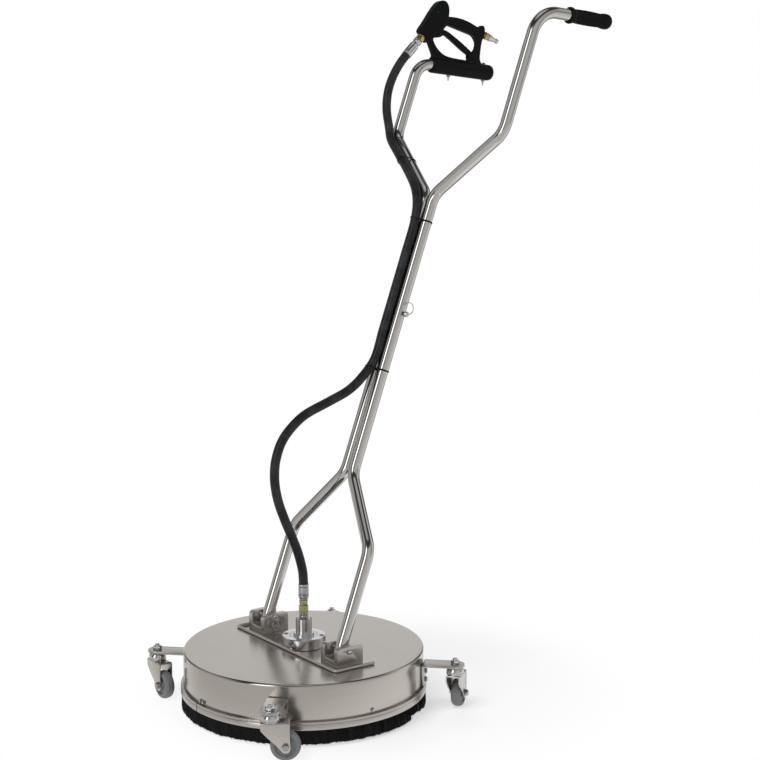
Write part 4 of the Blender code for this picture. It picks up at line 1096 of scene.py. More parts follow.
def brush_strands(mesh, rng):
    """Loose three-sided strands over the core."""
    strands, half = 2600, 0.00036
    for k in range(strands):
        bearing = 2 * math.pi * (k + rng.random()) / strands
        lean = rng.uniform(-0.0042, 0.0042) / BRUSH_R
        top_r = BRUSH_R - 0.0002
        tip_r = BRUSH_R + rng.uniform(-0.0012, 0.0012)
        top_z = BAND_BOTTOM + 0.004
        tip_z = tip_height(bearing) + rng.uniform(-0.0026, 0.0012)
        rings = []
        for t in (0.0, 0.5, 1.0):
            turn = bearing + lean * t * t
            radius = top_r + (tip_r - top_r) * t + 0.00012
            size = half * (1.0 - 0.45 * t)
            z = top_z + (tip_z - top_z) * t
            centre = Vector((radius * math.cos(turn), radius * math.sin(turn), z))
            sideways = Vector((-math.sin(turn), math.cos(turn), 0))
            outwards = Vector((math.cos(turn), math.sin(turn), 0))
            rings.append([
                mesh.verts.new(centre + sideways * (size * side) + outwards * (size * out))
                for side, out in ((1, 0), (-0.5, 0.87), (-0.5, -0.87))
            ])
        for first, second in zip(rings, rings[1:]):
            bridge(mesh, first, second)
        mesh.faces.new(rings[0])
        mesh.faces.new(rings[-1])


def bristle_skirt():
    rng = random.Random(7)
    mesh = bmesh.new()
    brush_core(mesh, rng)
    brush_strands(mesh, rng)
    skirt = from_bmesh(mesh)
    piece(skirt, "bristle_skirt", BRISTLE, "deck", "bristle", "brush_skirt", angle=60)


def deck_rod():
    """Stiffener across the deck, bent back at both ends."""
    z = DECK_SEAT + BAR_R
    half, back, front = 0.190, 0.044, -0.0505
    corners = [(-half, back, z), (-half, front, z), (half, front, z), (half, back, z)]
    bar = sweep(spaced(bent(corners, 0.007, 10), 0.02), BAR_R, 24, dome=True)
    piece(bar, "deck_rod", ROD_STEEL, "deck", "deck_steel", "stiffener_rod", angle=50)


# ------------------------------------------------------------ pivots
# (offset from the pin's axis at its ring hole, normal of the ring's plane, radius)
SPLIT_RINGS = {
    "left": [
        ((0.0, 0.0, -0.0125), (1.0, 0.10, 0.0), 0.0125),
        ((0.0004, -0.0095, -0.0060), (0.95, -0.26, 0.17), 0.0115),
        ((0.0004, 0.0085, -0.0030), (0.95, 0.26, -0.17), 0.0105),
    ],
    "right": [((0.0, 0.0, -0.0115), (1.0, 0.0, 0.0), 0.0115)],
}
PIN_HEAD_R = {"left": 0.0100, "right": 0.0085}


def across_pivot(radius, x, half, segments):
    """A rod in X through the pivot's axis."""
    start, end = (x - half, PIVOT_Y, PIVOT_Z), (x + half, PIVOT_Y, PIVOT_Z)
    return rod(radius, start, end, segments)


def pivot_block(side, sign):
    """A block with two ears, open at the top, front and back."""
    x = sign * PIVOT_X
    half, top = BLOCK_W / 2, DECK_SEAT + BLOCK_H
    ear = rounded(
        [(-half, DECK_SEAT), (half, DECK_SEAT), (half, top), (-half, top)],
        [0.0, 0.0, 0.006, 0.010], 10,
    )
    left, right = x - half + CHEEK_T, x + half - CHEEK_T
    low, high = DECK_SEAT + BLOCK_BASE, DECK_SEAT + 0.06
    slot = rounded([(left, low), (right, low), (right, high), (left, high)], [0.003, 0.003, 0, 0])
    block = combine(
        standing(outline(ear, BLOCK_W), x),
        cut=[upright(outline(slot, 0.10)), across_pivot(PIN_R + GAP, x, 0.04, 48)],
    )
    piece(softened(block, 0.0007), f"pivot_block_{side}", BLOCK_STEEL, "deck", "bracket_steel",
          f"pivot_bracket_{side}", angle=40)


def split_ring(centre, normal, radius):
    """Two turns of wire."""
    normal = Vector(normal).normalized()
    level = normal.cross(Vector((0, 0, 1))).normalized()
    steep = normal.cross(level)
    pitch, steps = 0.0017, 144
    points = []
    for k in range(steps + 1):
        angle = math.pi * k / 36
        points.append(
            Vector(centre) + normal * ((k / steps - 0.5) * pitch)
            + level * (radius * math.sin(angle)) + steep * (radius * math.cos(angle))
        )
    return sweep(points, 0.00095, 12, dome=True)


def hinge_pin(side, sign):
    """A pin with a collar near its inner end, where the split rings hang."""
    inner, outer = sign * (PIVOT_X - BLOCK_W / 2), sign * (PIVOT_X + BLOCK_W / 2)
    start = Vector((inner - sign * 0.0100, PIVOT_Y, PIVOT_Z))
    length = abs(outer + sign * 0.0030 - start.x)
    head_r, head_low, head_high = PIN_HEAD_R[side], 0.0068, 0.0097
    shank = eased([
        (0.0, length), (PIN_R, length), (PIN_R, head_high), (head_r, head_high),
        (head_r, head_low), (PIN_R, head_low), (PIN_R, 0.0), (0.0, 0.0),
    ], 0.0007, 3)
    x = inner - sign * RING_HOLE
    hole = rod(0.0016, (x, PIVOT_Y - 0.01, PIVOT_Z), (x, PIVOT_Y + 0.01, PIVOT_Z), 20)
    body = f"pivot_pin_{side}"
    pin = combine(lathe(shank, 48, start, Vector((sign, 0, 0))), cut=[hole])
    piece(pin, f"hinge_pin_{side}", CHROME, body, "plated_steel", body)
    rings = [
        split_ring((x + offset[0], PIVOT_Y + offset[1], PIVOT_Z + offset[2]), normal, radius)
        for offset, normal, radius in SPLIT_RINGS[side]
    ]
    piece(merged(*rings), f"split_ring_{side}", BOLT_STEEL, body, "plated_steel",
          f"pivot_ring_{side}", angle=60)


# ------------------------------------------------------------ handle
def lower_leg(side, sign):
    pair_x = sign * PAIR_X
    path = [
        frame_point(sign * PIVOT_X, -0.009), frame_point(sign * PIVOT_X, ELBOW_RUN),
        frame_point(pair_x, JOIN_RUN), frame_point(pair_x, SEAM_RUN),
    ]
    lock_ends = [frame_point(pair_x - 0.02, LOCK_RUN), frame_point(pair_x + 0.02, LOCK_RUN)]
    tube = combine(
        sweep(spaced(bent(path, LOWER_BEND_R), 0.03), TUBE_R, 48, bore=TUBE_BORE),
        cut=[across_pivot(PIN_R + GAP, sign * PIVOT_X, 0.02, 32), rod(0.0043, *lock_ends, 32)],
    )
    piece(tube, f"lower_leg_{side}", TUBE_STEEL, "handle", "tube_steel",
          f"lower_tube_{side}", angle=40)


def upper_arm(side, sign):
    """The gun's arm on the left or the grip's on the right, with its spigot into the lower leg."""
    pair_x = sign * PAIR_X
    if side == "left":
        corner, leg, top_bend = GUN_CORNER, GUN_LEG - 0.0060, BEND_R
    else:
        corner, leg, top_bend = GRIP_CORNER, GRIP_LEG, GRIP_BEND_R
    path = [
        frame_point(pair_x, SEAM_RUN + 0.0005), frame_point(pair_x, FORK_RUN),
        frame_point(sign * ARM_X, SHOULDER_RUN), corner, corner + LEG_DIR * leg,
    ]
    bends = [BEND_R, BEND_R, top_bend]
    tube = sweep(spaced(bent(path, bends), 0.03), TUBE_R, 48, bore=TUBE_BORE)
    spigot = sweep(
        [frame_point(pair_x, SEAM_RUN - 0.080), frame_point(pair_x, SEAM_RUN + 0.040)],
        0.0105, 32, bore=0.0087,
    )
    piece(merged(tube, spigot), f"upper_arm_{side}", TUBE_STEEL, "handle", "tube_steel",
          f"upper_tube_{side}", angle=40)


def splice_lock_pin():
    """Lock pin through the splice, with its wire bail."""
    bail_r = 0.0130
    bail = [
        frame_point(0.0395, LOCK_RUN + bail_r + bail_r * math.cos(turn), bail_r * math.sin(turn))
        for turn in angles(48)
    ]
    knob = eased([    # (radius, height)
        (0.0, 0.0153), (0.0048, 0.0153), (0.0060, 0.0135), (0.0060, 0.0030), (0.0048, 0.0),
        (0.0, 0.0),
    ], 0.0006)
    lock = merged(
        rod(0.0040, frame_point(-0.0300, LOCK_RUN), frame_point(0.0300, LOCK_RUN), 32,
            chamfer=0.0008),
        lathe(knob, 40, frame_point(0.0262, LOCK_RUN), (1, 0, 0)),
        sweep(bail, 0.0010, 14, closed=True),
    )
    piece(lock, "splice_lock_pin", CHROME, "splice_pin", "plated_steel", "splice_pin")


# (radius, height) from the grip's swollen far end, and then of its collar
GRIP_END = [
    (0.0, GRIP_LEN + 0.0004), (0.0070, GRIP_LEN), (0.0110, GRIP_LEN - 0.0012),
    (0.0140, GRIP_LEN - 0.0034), (0.0158, GRIP_LEN - 0.0064), (0.0166, GRIP_LEN - 0.0105),
    (0.0167, GRIP_LEN - 0.0150), (0.0164, GRIP_LEN - 0.0200), (0.0156, GRIP_LEN - 0.0245),
    (0.0150, GRIP_LEN - 0.0275),
]
GRIP_COLLAR = [
    (0.0147, 0.0165), (0.0149, 0.0140), (0.0155, 0.0110), (0.0165, 0.0085), (0.0174, 0.0062),
    (0.0178, 0.0038), (0.0176, 0.0016), (0.0168, 0.0004), (0.0156, 0.0),
    (TUBE_R + 0.0001, 0.0), (TUBE_R + 0.0001, GRIP_LEN - 0.0040), (0.0, GRIP_LEN - 0.0040),
]


def hand_grip():
    """Rubber grip: a flared collar, a ribbed barrel and a swollen end."""
    rib_pitch, groove = 0.0028, 0.00045
    ribs = []
    z = GRIP_LEN - 0.0290
    while z > 0.0190:
        belly = 0.0146 + 0.0011 * math.sin(math.pi * clamped((z - 0.017) / 0.074)) ** 0.8
        ribs += [
            (belly, z), (belly, z - 0.0014),
            (belly - groove, z - 0.0017), (belly - groove, z - 0.0025),
        ]
        z -= rib_pitch
    grip = lathe(GRIP_END + ribs + GRIP_COLLAR, 72, GRIP_CORNER + LEG_DIR * 0.0850, LEG_DIR)
    piece(grip, "hand_grip", GRIP_RUBBER, "handle", "grip_rubber", "handlebar_grip", angle=45)


# ------------------------------------------------------------ trigger gun
# Closed outlines as (Y, Z)
GUN_HEAD = [
    (0.4483, 1.4360), (0.4436, 1.4422), (0.4602, 1.4617), (0.4768, 1.4843), (0.4897, 1.5002),
    (0.4990, 1.5094), (0.5089, 1.5140), (0.5190, 1.5125), (0.5250, 1.5060), (0.5278, 1.4981),
    (0.5287, 1.4911), (0.5272, 1.4795), (0.5262, 1.4640), (0.5190, 1.4560), (0.5120, 1.4500),
    (0.5065, 1.4440), (0.5040, 1.4350), (0.4970, 1.4300), (0.4835, 1.4295), (0.4700, 1.4150),
    (0.4640, 1.4170), (0.4590, 1.4240),
]
GUN_BOW = [
    (0.4950, 1.3620), (0.4790, 1.3700), (0.4858, 1.3830), (0.4852, 1.3910), (0.4767, 1.4078),
    (0.4715, 1.4195), (0.4700, 1.4400), (0.4900, 1.4750), (0.5230, 1.4785), (0.5423, 1.4785),
    (0.5547, 1.4781), (0.5739, 1.4752), (0.5933, 1.4699), (0.6089, 1.4636), (0.6207, 1.4585),
    (0.6275, 1.4640), (0.6353, 1.4650), (0.6388, 1.4600), (0.6400, 1.4521), (0.6397, 1.4433),
    (0.6340, 1.4342), (0.6304, 1.4281), (0.6273, 1.4118), (0.6246, 1.3926), (0.6250, 1.3823),
    (0.6330, 1.3745), (0.6330, 1.3600),
]
BOW_OPENING = [
    (0.5262, 1.4597), (0.5550, 1.4521), (0.5936, 1.4425), (0.6020, 1.4405), (0.6085, 1.4360),
    (0.6143, 1.4270), (0.6162, 1.4197), (0.6128, 1.4092), (0.6085, 1.4035), (0.5960, 1.3995),
    (0.5890, 1.3935), (0.5930, 1.3808), (0.5750, 1.3826), (0.5557, 1.3840), (0.5365, 1.3862),
    (0.5186, 1.3895), (0.5034, 1.3980), (0.4902, 1.4110), (0.4835, 1.4228), (0.4840, 1.4285),
    (0.5000, 1.4285), (0.5090, 1.4380), (0.5140, 1.4480), (0.5220, 1.4560),
]
TRIGGER = [
    (0.5120, 1.4485), (0.5270, 1.4465), (0.5640, 1.4255), (0.5860, 1.4118), (0.6000, 1.4020),
    (0.6030, 1.3960), (0.5985, 1.3910), (0.5870, 1.3950), (0.5640, 1.4085), (0.5270, 1.4325),
    (0.5170, 1.4365), (0.5080, 1.4310), (0.5010, 1.4293), (0.4940, 1.4302), (0.4900, 1.4340),
    (0.4895, 1.4395), (0.4930, 1.4440), (0.5010, 1.4470),
]
SLOT_W = 0.0106
LEVER_SLOTS = (
    [(0.4865, 1.4250), (0.5330, 1.4250), (0.5330, 1.4530), (0.4865, 1.4530)],
    [(0.5800, 1.3875), (0.6052, 1.3875), (0.6125, 1.4120), (0.6000, 1.4180), (0.5800, 1.4150)],
)
# (y, z, face in X from the gun's middle, screw size factor, well radius)
SHELL_SCREWS = ((0.4935, 1.4865, 0.0118, 1.0, 0.0042), (0.6250, 1.4330, 0.0066, 0.86, 0.0036))


def gun_body():
    """Head, bow and sleeve grown together with a moulded skin."""
    bow = combine(
        standing(outline(softer(GUN_BOW), 2 * BOW_HALF, edge=0.0034), GUN_X),
        cut=[standing(outline(softer(BOW_OPENING), 0.06), GUN_X)],
    )
    start, end = GUN_CORNER + LEG_DIR * 0.0345, GUN_CORNER + LEG_DIR * GUN_LEG
    length = (end - start).length
    sleeve = [    # (radius, height)
        (0.0, length), (0.0120, length), (0.0155, length - 0.0008), (0.0175, length - 0.0030),
        (SLEEVE_R, length - 0.0070), (SLEEVE_R, 0.0040), (0.0178, 0.0012), (0.0160, 0.0),
        (0.0, 0.0),
    ]
    gun = combine(bow, add=[
        standing(outline(softer(GUN_HEAD), 2 * GUN_HALF, edge=0.0055, steps=5), GUN_X),
        lathe(sleeve, 64, start, LEG_DIR),
    ])
    remesh = gun.modifiers.new("skin", "REMESH")
    remesh.mode = "VOXEL"
    remesh.voxel_size = 0.0011
    remesh.use_smooth_shade = True
    blur = gun.modifiers.new("blur", "CORRECTIVE_SMOOTH")
    blur.factor = 0.5
    blur.iterations = 10
    blur.use_only_smooth = True
    return solid(gun)


def gun_cuts():
    """The tube's bore, the valve's bores, the lever's slots, the ports and the screw wells."""
    return [
        rod(TUBE_R + GAP, GUN_CORNER + LEG_DIR * 0.020,
            GUN_CORNER + LEG_DIR * (GUN_LEG - 0.0046), 48),
        rod(VALVE_R + GAP, (GUN_X, VALVE_Y, VALVE_LOW - GAP), (GUN_X, VALVE_Y, VALVE_TOP + GAP),
            32),
        rod(0.0032, (GUN_X, VALVE_Y, 1.4500), (GUN_X, VALVE_Y, VALVE_LOW + 0.002), 24),
        *[standing(outline(slot, SLOT_W), GUN_X) for slot in LEVER_SLOTS],
        rod(0.0074, OUTLET_AT + OUTLET_DIR * 0.03, OUTLET_AT - OUTLET_DIR * 0.0205, 32),
        rod(0.0069, INLET_AT + INLET_DIR * 0.03, INLET_AT - INLET_DIR * 0.0305, 32),
        *[rod(well_r, (GUN_X + face, y, z), (GUN_X + 0.0200, y, z), 32)
          for y, z, face, _, well_r in SHELL_SCREWS],
    ]


def gun_halves():
    gun = gun_body()
    seam, beyond = 0.0002, 0.06
    for side, waste_left, waste_right in (("left", seam, beyond), ("right", beyond, seam)):
        waste = box((GUN_X - waste_left, 0.3, 1.2), (GUN_X + waste_right, 0.8, 1.6))
        half = combine(duplicate(gun), cut=[waste])
        for tool in gun_cuts():
            half = combine(half, cut=[tool])
        piece(half, f"gun_half_{side}", GUN_PLASTIC, "handle", "gun_plastic",
              f"gun_shell_{side}", angle=32)
    discard(gun)


def trigger_lever():
    ends = [(GUN_X + reach, TRIGGER_Y, TRIGGER_Z) for reach in (-0.02, 0.02)]
    lever = combine(
        standing(outline(softer(TRIGGER), 2 * TRIGGER_HALF, edge=0.0016), GUN_X),
        cut=[rod(0.0027, *ends, 32)],
    )
    piece(lever, "trigger_lever", GUN_PLASTIC, "trigger", "gun_plastic", "trigger", angle=34)


def sleeve_bolts():
    """Two bolts that clamp the sleeve on its tube: head on top, nut and tapered end below."""
    across = Vector((0, math.sin(DROOP), math.cos(DROOP)))
    head = [    # (radius, height)
        (0.0, 0.0042), (0.0018, 0.0040), (0.0034, 0.0028), (0.0042, 0.0008), (0.0042, -0.0008),
        (0.0, -0.0008),
    ]
    parts = []
    for reach in (0.0888, 0.1940):
        centre = GUN_CORNER + LEG_DIR * reach
        top, low = centre + across * SLEEVE_R, centre - across * SLEEVE_R
        parts += [
            lathe(head, 32, top, across),
            hexagon(0.0046, low + across * 0.0004, low - across * 0.0036, 0.2, 0.0004),
            rod(0.0024, low, low - across * 0.0125, 28, radius_end=0.0012),
        ]
    piece(merged(*parts), "sleeve_bolts", BOLT_STEEL, "handle", "plated_steel")


def shell_screws():
    """Cross-slotted screws in the gun's right half."""
    screws = []
    thin, wide = 0.0004, 0.0024
    for y, z, face, size, _ in SHELL_SCREWS:
        rim = 0.0036 * size
        head = eased([(0.0, 0.0012), (rim, 0.0010), (rim, -0.0006), (0.0, -0.0006)], 0.0004)
        x = GUN_X + face
        slots = [
            box((x + 0.0004, y - half_y, z - half_z), (x + 0.0030, y + half_y, z + half_z))
            for half_y, half_z in ((thin, wide), (wide, thin))
        ]
        screws.append(combine(lathe(head, 32, (x, y, z), (1, 0, 0)), cut=slots))
    piece(merged(*screws), "shell_screws", BLACK_STEEL, "handle", "plated_steel")


# (radius, height)
OUTLET_STEM = [(0.0, 0.0420), (0.0062, 0.0420), (0.0066, 0.0405), (0.0066, 0.0), (0.0, 0.0)]
OUTLET_COLLAR = [(0.0, 0.0034), (0.0094, 0.0034), (0.0098, 0.0026), (0.0098, 0.0), (0.0, 0.0)]
UPPER_FERRULE = [
    (0.0, 0.0078), (0.0092, 0.0078), (0.0100, 0.0066), (0.0100, 0.0004), (0.0086, -0.0010),
    (0.0086, -0.0058), (0.0100, -0.0066), (0.0109, -0.0082), (0.0110, -0.0105),
    (0.0106, -0.0112), (0.0106, -0.0122), (0.0110, -0.0130), (0.0110, -0.0360),
    (0.0106, -0.0366), (0.0106, -0.0376), (0.0110, -0.0384), (0.0109, -0.0400),
    (0.0100, -0.0402), (0.0100, -0.0140), (0.0, -0.0140),
]
QUICK_PLUG = [
    (0.0, 0.0200), (0.0036, 0.0210), (0.0036, 0.0308), (0.0050, 0.0310), (0.0056, 0.0296),
    (0.0056, 0.0240), (0.0044, 0.0225), (0.0044, 0.0195), (0.0058, 0.0180), (0.0062, 0.0100),
    (0.0082, 0.0085), (0.0082, 0.0002), (0.0078, 0.0), (0.0, 0.0),
]


def gun_fittings():
    outlet = merged(
        lathe(eased(OUTLET_STEM, 0.0004), 48, OUTLET_AT - OUTLET_DIR * 0.0200, OUTLET_DIR),
        lathe(eased(OUTLET_COLLAR, 0.0005), 48, OUTLET_AT + OUTLET_DIR * 0.0006, OUTLET_DIR),
        hexagon(0.0106, OUTLET_AT + OUTLET_DIR * 0.0038, OUTLET_AT + OUTLET_DIR * 0.0134,
                turn=0.25, chamfer=0.0007),
    )
    piece(outlet, "outlet_adapter", BRASS, "handle", "brass_fitting", "gun_outlet_fitting")
    ferrule = lathe(eased(UPPER_FERRULE, 0.0004, 2), 64, UPPER_FERRULE_AT, -OUTLET_DIR)
    piece(ferrule, "crimp_ferrule_upper", BRIGHT_ZINC, "handle", "plated_steel", "ferrule_upper")
    inlet = merged(
        disc(0.0065, 0.0, 0.0440, 48, INLET_AT - INLET_DIR * 0.0300, INLET_DIR, ease=0.0004),
        hexagon(0.0095, INLET_AT + INLET_DIR * 0.0024, INLET_AT + INLET_DIR * 0.0122, turn=0.2),
        disc(0.0080, 0.0, 0.0020, 40, INLET_AT + INLET_DIR * 0.0121, INLET_DIR, ease=0.0004),
    )
    piece(inlet, "inlet_adapter", BRASS, "handle", "brass_fitting", "gun_inlet_fitting")
    plug = lathe(eased(QUICK_PLUG, 0.0003, 2), 56, INLET_AT + INLET_DIR * 0.0143, INLET_DIR)
    piece(plug, "quick_plug", BRIGHT_ZINC, "handle", "plated_steel", "quick_connect_plug")


# ------------------------------------------------------------ hose
# (radius, height)
LOWER_FERRULE = [
    (0.0, FERRULE_TOP - 0.0240), (0.0100, FERRULE_TOP - 0.0240), (0.0100, FERRULE_TOP),
    (FERRULE_R - 0.0004, FERRULE_TOP), (FERRULE_R, FERRULE_TOP - 0.0008),
    (FERRULE_R, FERRULE_TOP - 0.0060), (FERRULE_R - 0.0004, FERRULE_TOP - 0.0066),
    (FERRULE_R - 0.0004, FERRULE_TOP - 0.0080), (FERRULE_R, FERRULE_TOP - 0.0086),
    (FERRULE_R, FERRULE_LOW + 0.0075), (FERRULE_R - 0.0004, FERRULE_LOW + 0.0068),
    (FERRULE_R, FERRULE_LOW + 0.0060), (FERRULE_R, FERRULE_LOW + 0.0036),
    (0.0092, FERRULE_LOW), (0.0, FERRULE_LOW),
]
HOSE_END = UPPER_FERRULE_AT + OUTLET_DIR * 0.0150
# From the swivel, up the valley between the tubes, along the left arm to the gun's outlet
HOSE_PATH = smooth_path([
    (0, 0, FERRULE_TOP - 0.0235), (0, 0, 0.263), (0, -0.003, 0.292), (0, -0.014, 0.330),
    (0, -0.029, 0.366), (0, -0.045, 0.402), (0, -0.0590, 0.4378), (0, -0.067, 0.470),
    (0, -0.0695, 0.500), (0, -0.066, 0.531), (0, -0.053, 0.565), (0, -0.030, 0.593),
    (0, 0.008, 0.620), (0, 0.070, 0.643), (0, 0.118, 0.662), (0, 0.1540, 0.688),
    *[frame_point(0, run, VALLEY) for run in (0.600, 0.660, 0.720, 0.780, 0.840)],
    frame_point(0.001, 0.905, VALLEY + 0.001), frame_point(-0.006, 0.950, 0.0235),
    frame_point(-0.030, 0.988, 0.0245), frame_point(-0.075, 1.027, 0.0245),
    frame_point(-0.125, 1.065, 0.0245), frame_point(-0.165, 1.098, 0.0260),
    (-0.1835, 0.3615, 1.2220), (GUN_X, 0.3550, 1.2620), (GUN_X, 0.3585, 1.3000),
    (GUN_X, 0.3710, 1.3330),
    HOSE_END + OUTLET_DIR * 0.0540 + Vector((0, 0.0006, -0.0016)),
    HOSE_END + OUTLET_DIR * 0.0300, HOSE_END + OUTLET_DIR * 0.0140, HOSE_END,
], 10)


def lower_ferrule():
    piece(lathe(LOWER_FERRULE, 72), "crimp_ferrule_lower", ZINC, "deck", "zinc_fitting",
          "ferrule_lower")


def pressure_hose():
    """The hose, on no body, with its place baked into its mesh."""
    hose = piece(sweep(HOSE_PATH, HOSE_R, 36), "pressure_hose", HOSE_RUBBER, None, "hose_rubber",
                 "hose_lower", "hose_upper", angle=60)
    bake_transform(hose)


# ------------------------------------------------------------ cable ties
ACROSS, FRONT = Vector((1, 0, 0)), Vector((0, -math.cos(LEAN), math.sin(LEAN)))


def tie(name, centre, across, rounds, head_at):
    """A strap drawn tight round circles (across, front, radius); head_at is (across, front)."""
    run = across.cross(FRONT).normalized()
    outer = hull([p for x, front, r in rounds for p in circle((x, front), r + 0.0014, 72)])
    middle_x = sum(point[0] for point in outer) / len(outer)
    middle_front = sum(point[1] for point in outer) / len(outer)
    half_w, thick = 0.0019, 0.0012
    strap = bmesh.new()
    sections = []
    for x, front in outer:
        out = Vector((x - middle_x, front - middle_front))
        out.normalize()
        outside = centre + across * x + FRONT * front
        inside = centre + across * (x - out.x * thick) + FRONT * (front - out.y * thick)
        corners = (
            outside + run * (half_w * 0.8), outside - run * (half_w * 0.8),
            inside - run * half_w, inside + run * half_w,
        )
        sections.append([strap.verts.new(corner) for corner in corners])
    for first, second in zip(sections, sections[1:] + sections[:1]):
        bridge(strap, first, second)
    place = (
        Matrix.Translation(centre + across * head_at[0] + FRONT * head_at[1])
        @ Matrix((across, FRONT, run)).transposed().to_4x4()
        @ Matrix.Rotation(math.pi, 4, "Z")
    )
    head = softened(box((-0.0030, -0.0006, -0.0030), (0.0030, 0.0036, 0.0030)), 0.0006)
    tail = softened(box((-0.0006, 0.0030, -0.0016), (0.0006, 0.0070, 0.0016)), 0.0003)
    parts = [from_bmesh(strap), moved(head, place), moved(tail, place)]
    piece(merged(*parts), name, TIE_NYLON, "handle", "gun_plastic", angle=40)


def hose_near(run):
    """Where the hose passes a height up the handle: its x and how far it stands in front."""
    def missed(point):
        up = (point.y - PIVOT_Y) * math.sin(LEAN) + (point.z - PIVOT_Z) * math.cos(LEAN)
        return abs(up - run)

    best = min(HOSE_PATH, key=missed)
    front = -(best.y - PIVOT_Y) * math.cos(LEAN) + (best.z - PIVOT_Z) * math.sin(LEAN)
    return best.x, front


def cable_ties():
    """Two ties round the tube pair and the hose, and one square to the left arm's diagonal."""
    pair = [(-PAIR_X, 0, TUBE_R), (PAIR_X, 0, TUBE_R)]
    for run, name in ((0.580, "cable_tie_low"), (0.916, "cable_tie_middle")):
        rounds = pair + [(*hose_near(run), HOSE_R)]
        head_at = (-PAIR_X - 0.004, -TUBE_R - 0.0010)
        tie(name, frame_point(0, run), ACROSS, rounds, head_at)

    start, end = frame_point(-PAIR_X, FORK_RUN), frame_point(-ARM_X, SHOULDER_RUN)
    diagonal = (end - start).normalized()
    centre = start.lerp(end, 0.53)
    sideways = diagonal.cross(FRONT).normalized()

    def missed(point):
        offset = point - centre
        return abs(offset.dot(diagonal)) + (0.0 if offset.length < 0.08 else 9.0)

    hose = min(HOSE_PATH, key=missed) - centre
    rounds = [(0, 0, TUBE_R), (hose.dot(sideways), hose.dot(FRONT), HOSE_R)]
    tie("cable_tie_high", centre, sideways, rounds, (0.0, -TUBE_R - 0.0008))


# ------------------------------------------------------------ swivel on the deck
COLLAR_TOP = FLANGE_TOP + 0.005
# (radius, height)
HOUSING_PROFILE = [
    (0.0078, STUB_TOP), (STUB_R - 0.0030, STUB_TOP), (STUB_R, STUB_TOP - 0.0035),
    (STUB_R, COLLAR_TOP), (0.0210, COLLAR_TOP), (0.0218, COLLAR_TOP - 0.0008),
    (0.0218, FLANGE_TOP), (0.0290, FLANGE_TOP), (0.0296, FLANGE_TOP - 0.0006),
    (0.0302, FLANGE_TOP), (FLANGE_R - 0.0014, FLANGE_TOP), (FLANGE_R, FLANGE_TOP - 0.0014),
    (FLANGE_R, DECK_SEAT + 0.0010), (FLANGE_R - 0.0010, DECK_SEAT), (0.0203, DECK_SEAT),
    (0.0203, DECK_SEAT + 0.0160), (SHAFT_R + GAP, DECK_SEAT + 0.0160),
    (SHAFT_R + GAP, STUB_TOP - 0.022), (0.0078, STUB_TOP - 0.022),
]
SCREW_CAP = [
    (0.0, 0.0046), (0.0041, 0.0046), (0.0046, 0.0041), (0.0046, 0.0), (0.0, 0.0),
]
SIDE_PLUG = [
    (0.0, 0.0095), (0.0066, 0.0095), (0.0070, 0.0085), (0.0082, 0.0085), (0.0082, 0.0),
    (0.0, 0.0),
]
PLUG_BEARING = math.radians(-65.0)
PLUG_DIR = Vector((math.cos(PLUG_BEARING), math.sin(PLUG_BEARING), 0))


def plug_point(reach):
    """A point on the side plug's axis."""
    return PLUG_DIR * reach + Vector((0, 0, DECK_SEAT + 0.0115))


def swivel():
    """The housing, its four socket screws and the socket plug in its side."""
    seat = FLANGE_TOP - FLANGE_SCREW_SINK
    holes = []
    caps = []
    for k in range(4):
        bearing = math.radians(45 + 90 * k)
        x, y = FLANGE_SCREW_REACH * math.cos(bearing), FLANGE_SCREW_REACH * math.sin(bearing)
        holes.append(rod(0.0056, (x, y, seat), (x, y, FLANGE_TOP + 0.01), 40))
        caps.append(combine(
            lathe(eased(SCREW_CAP, 0.0004), 40, (x, y, seat), (0, 0, 1)),
            cut=[disc(0.0025, -0.0022, 0.003, 6, (x, y, FLANGE_TOP + 0.0010))],
        ))
    score = box((FLANGE_R - 0.0005, -0.0003, DECK_SEAT - 0.001),
                (FLANGE_R + 0.002, 0.0003, FLANGE_TOP + 0.001))
    housing = combine(lathe(HOUSING_PROFILE, 144), cut=holes + [
        rod(0.0086, plug_point(FLANGE_R + 0.01), plug_point(FLANGE_R - 0.012), 40),
        rod(0.0100, plug_point(FLANGE_R + 0.01), plug_point(FLANGE_R - 0.0026), 40),
        moved(score, Matrix.Rotation(math.radians(-75.0), 4, "Z")),
    ])
    piece(housing, "swivel_body", ALLOY, "deck", "swivel_alloy", "swivel_housing", angle=30)
    piece(merged(*caps), "flange_screws", BOLT_STEEL, "deck", "plated_steel", angle=40)
    plug_out = plug_point(FLANGE_R - 0.0012)
    plug = combine(
        lathe(eased(SIDE_PLUG, 0.0006), 48, plug_out - PLUG_DIR * 0.0095, PLUG_DIR),
        cut=[disc(0.0033, -0.0045, 0.006, 6, plug_out, PLUG_DIR)],
    )
    piece(plug, "swivel_side_plug", BRIGHT_ZINC, "deck", "plated_steel", "swivel_plug")


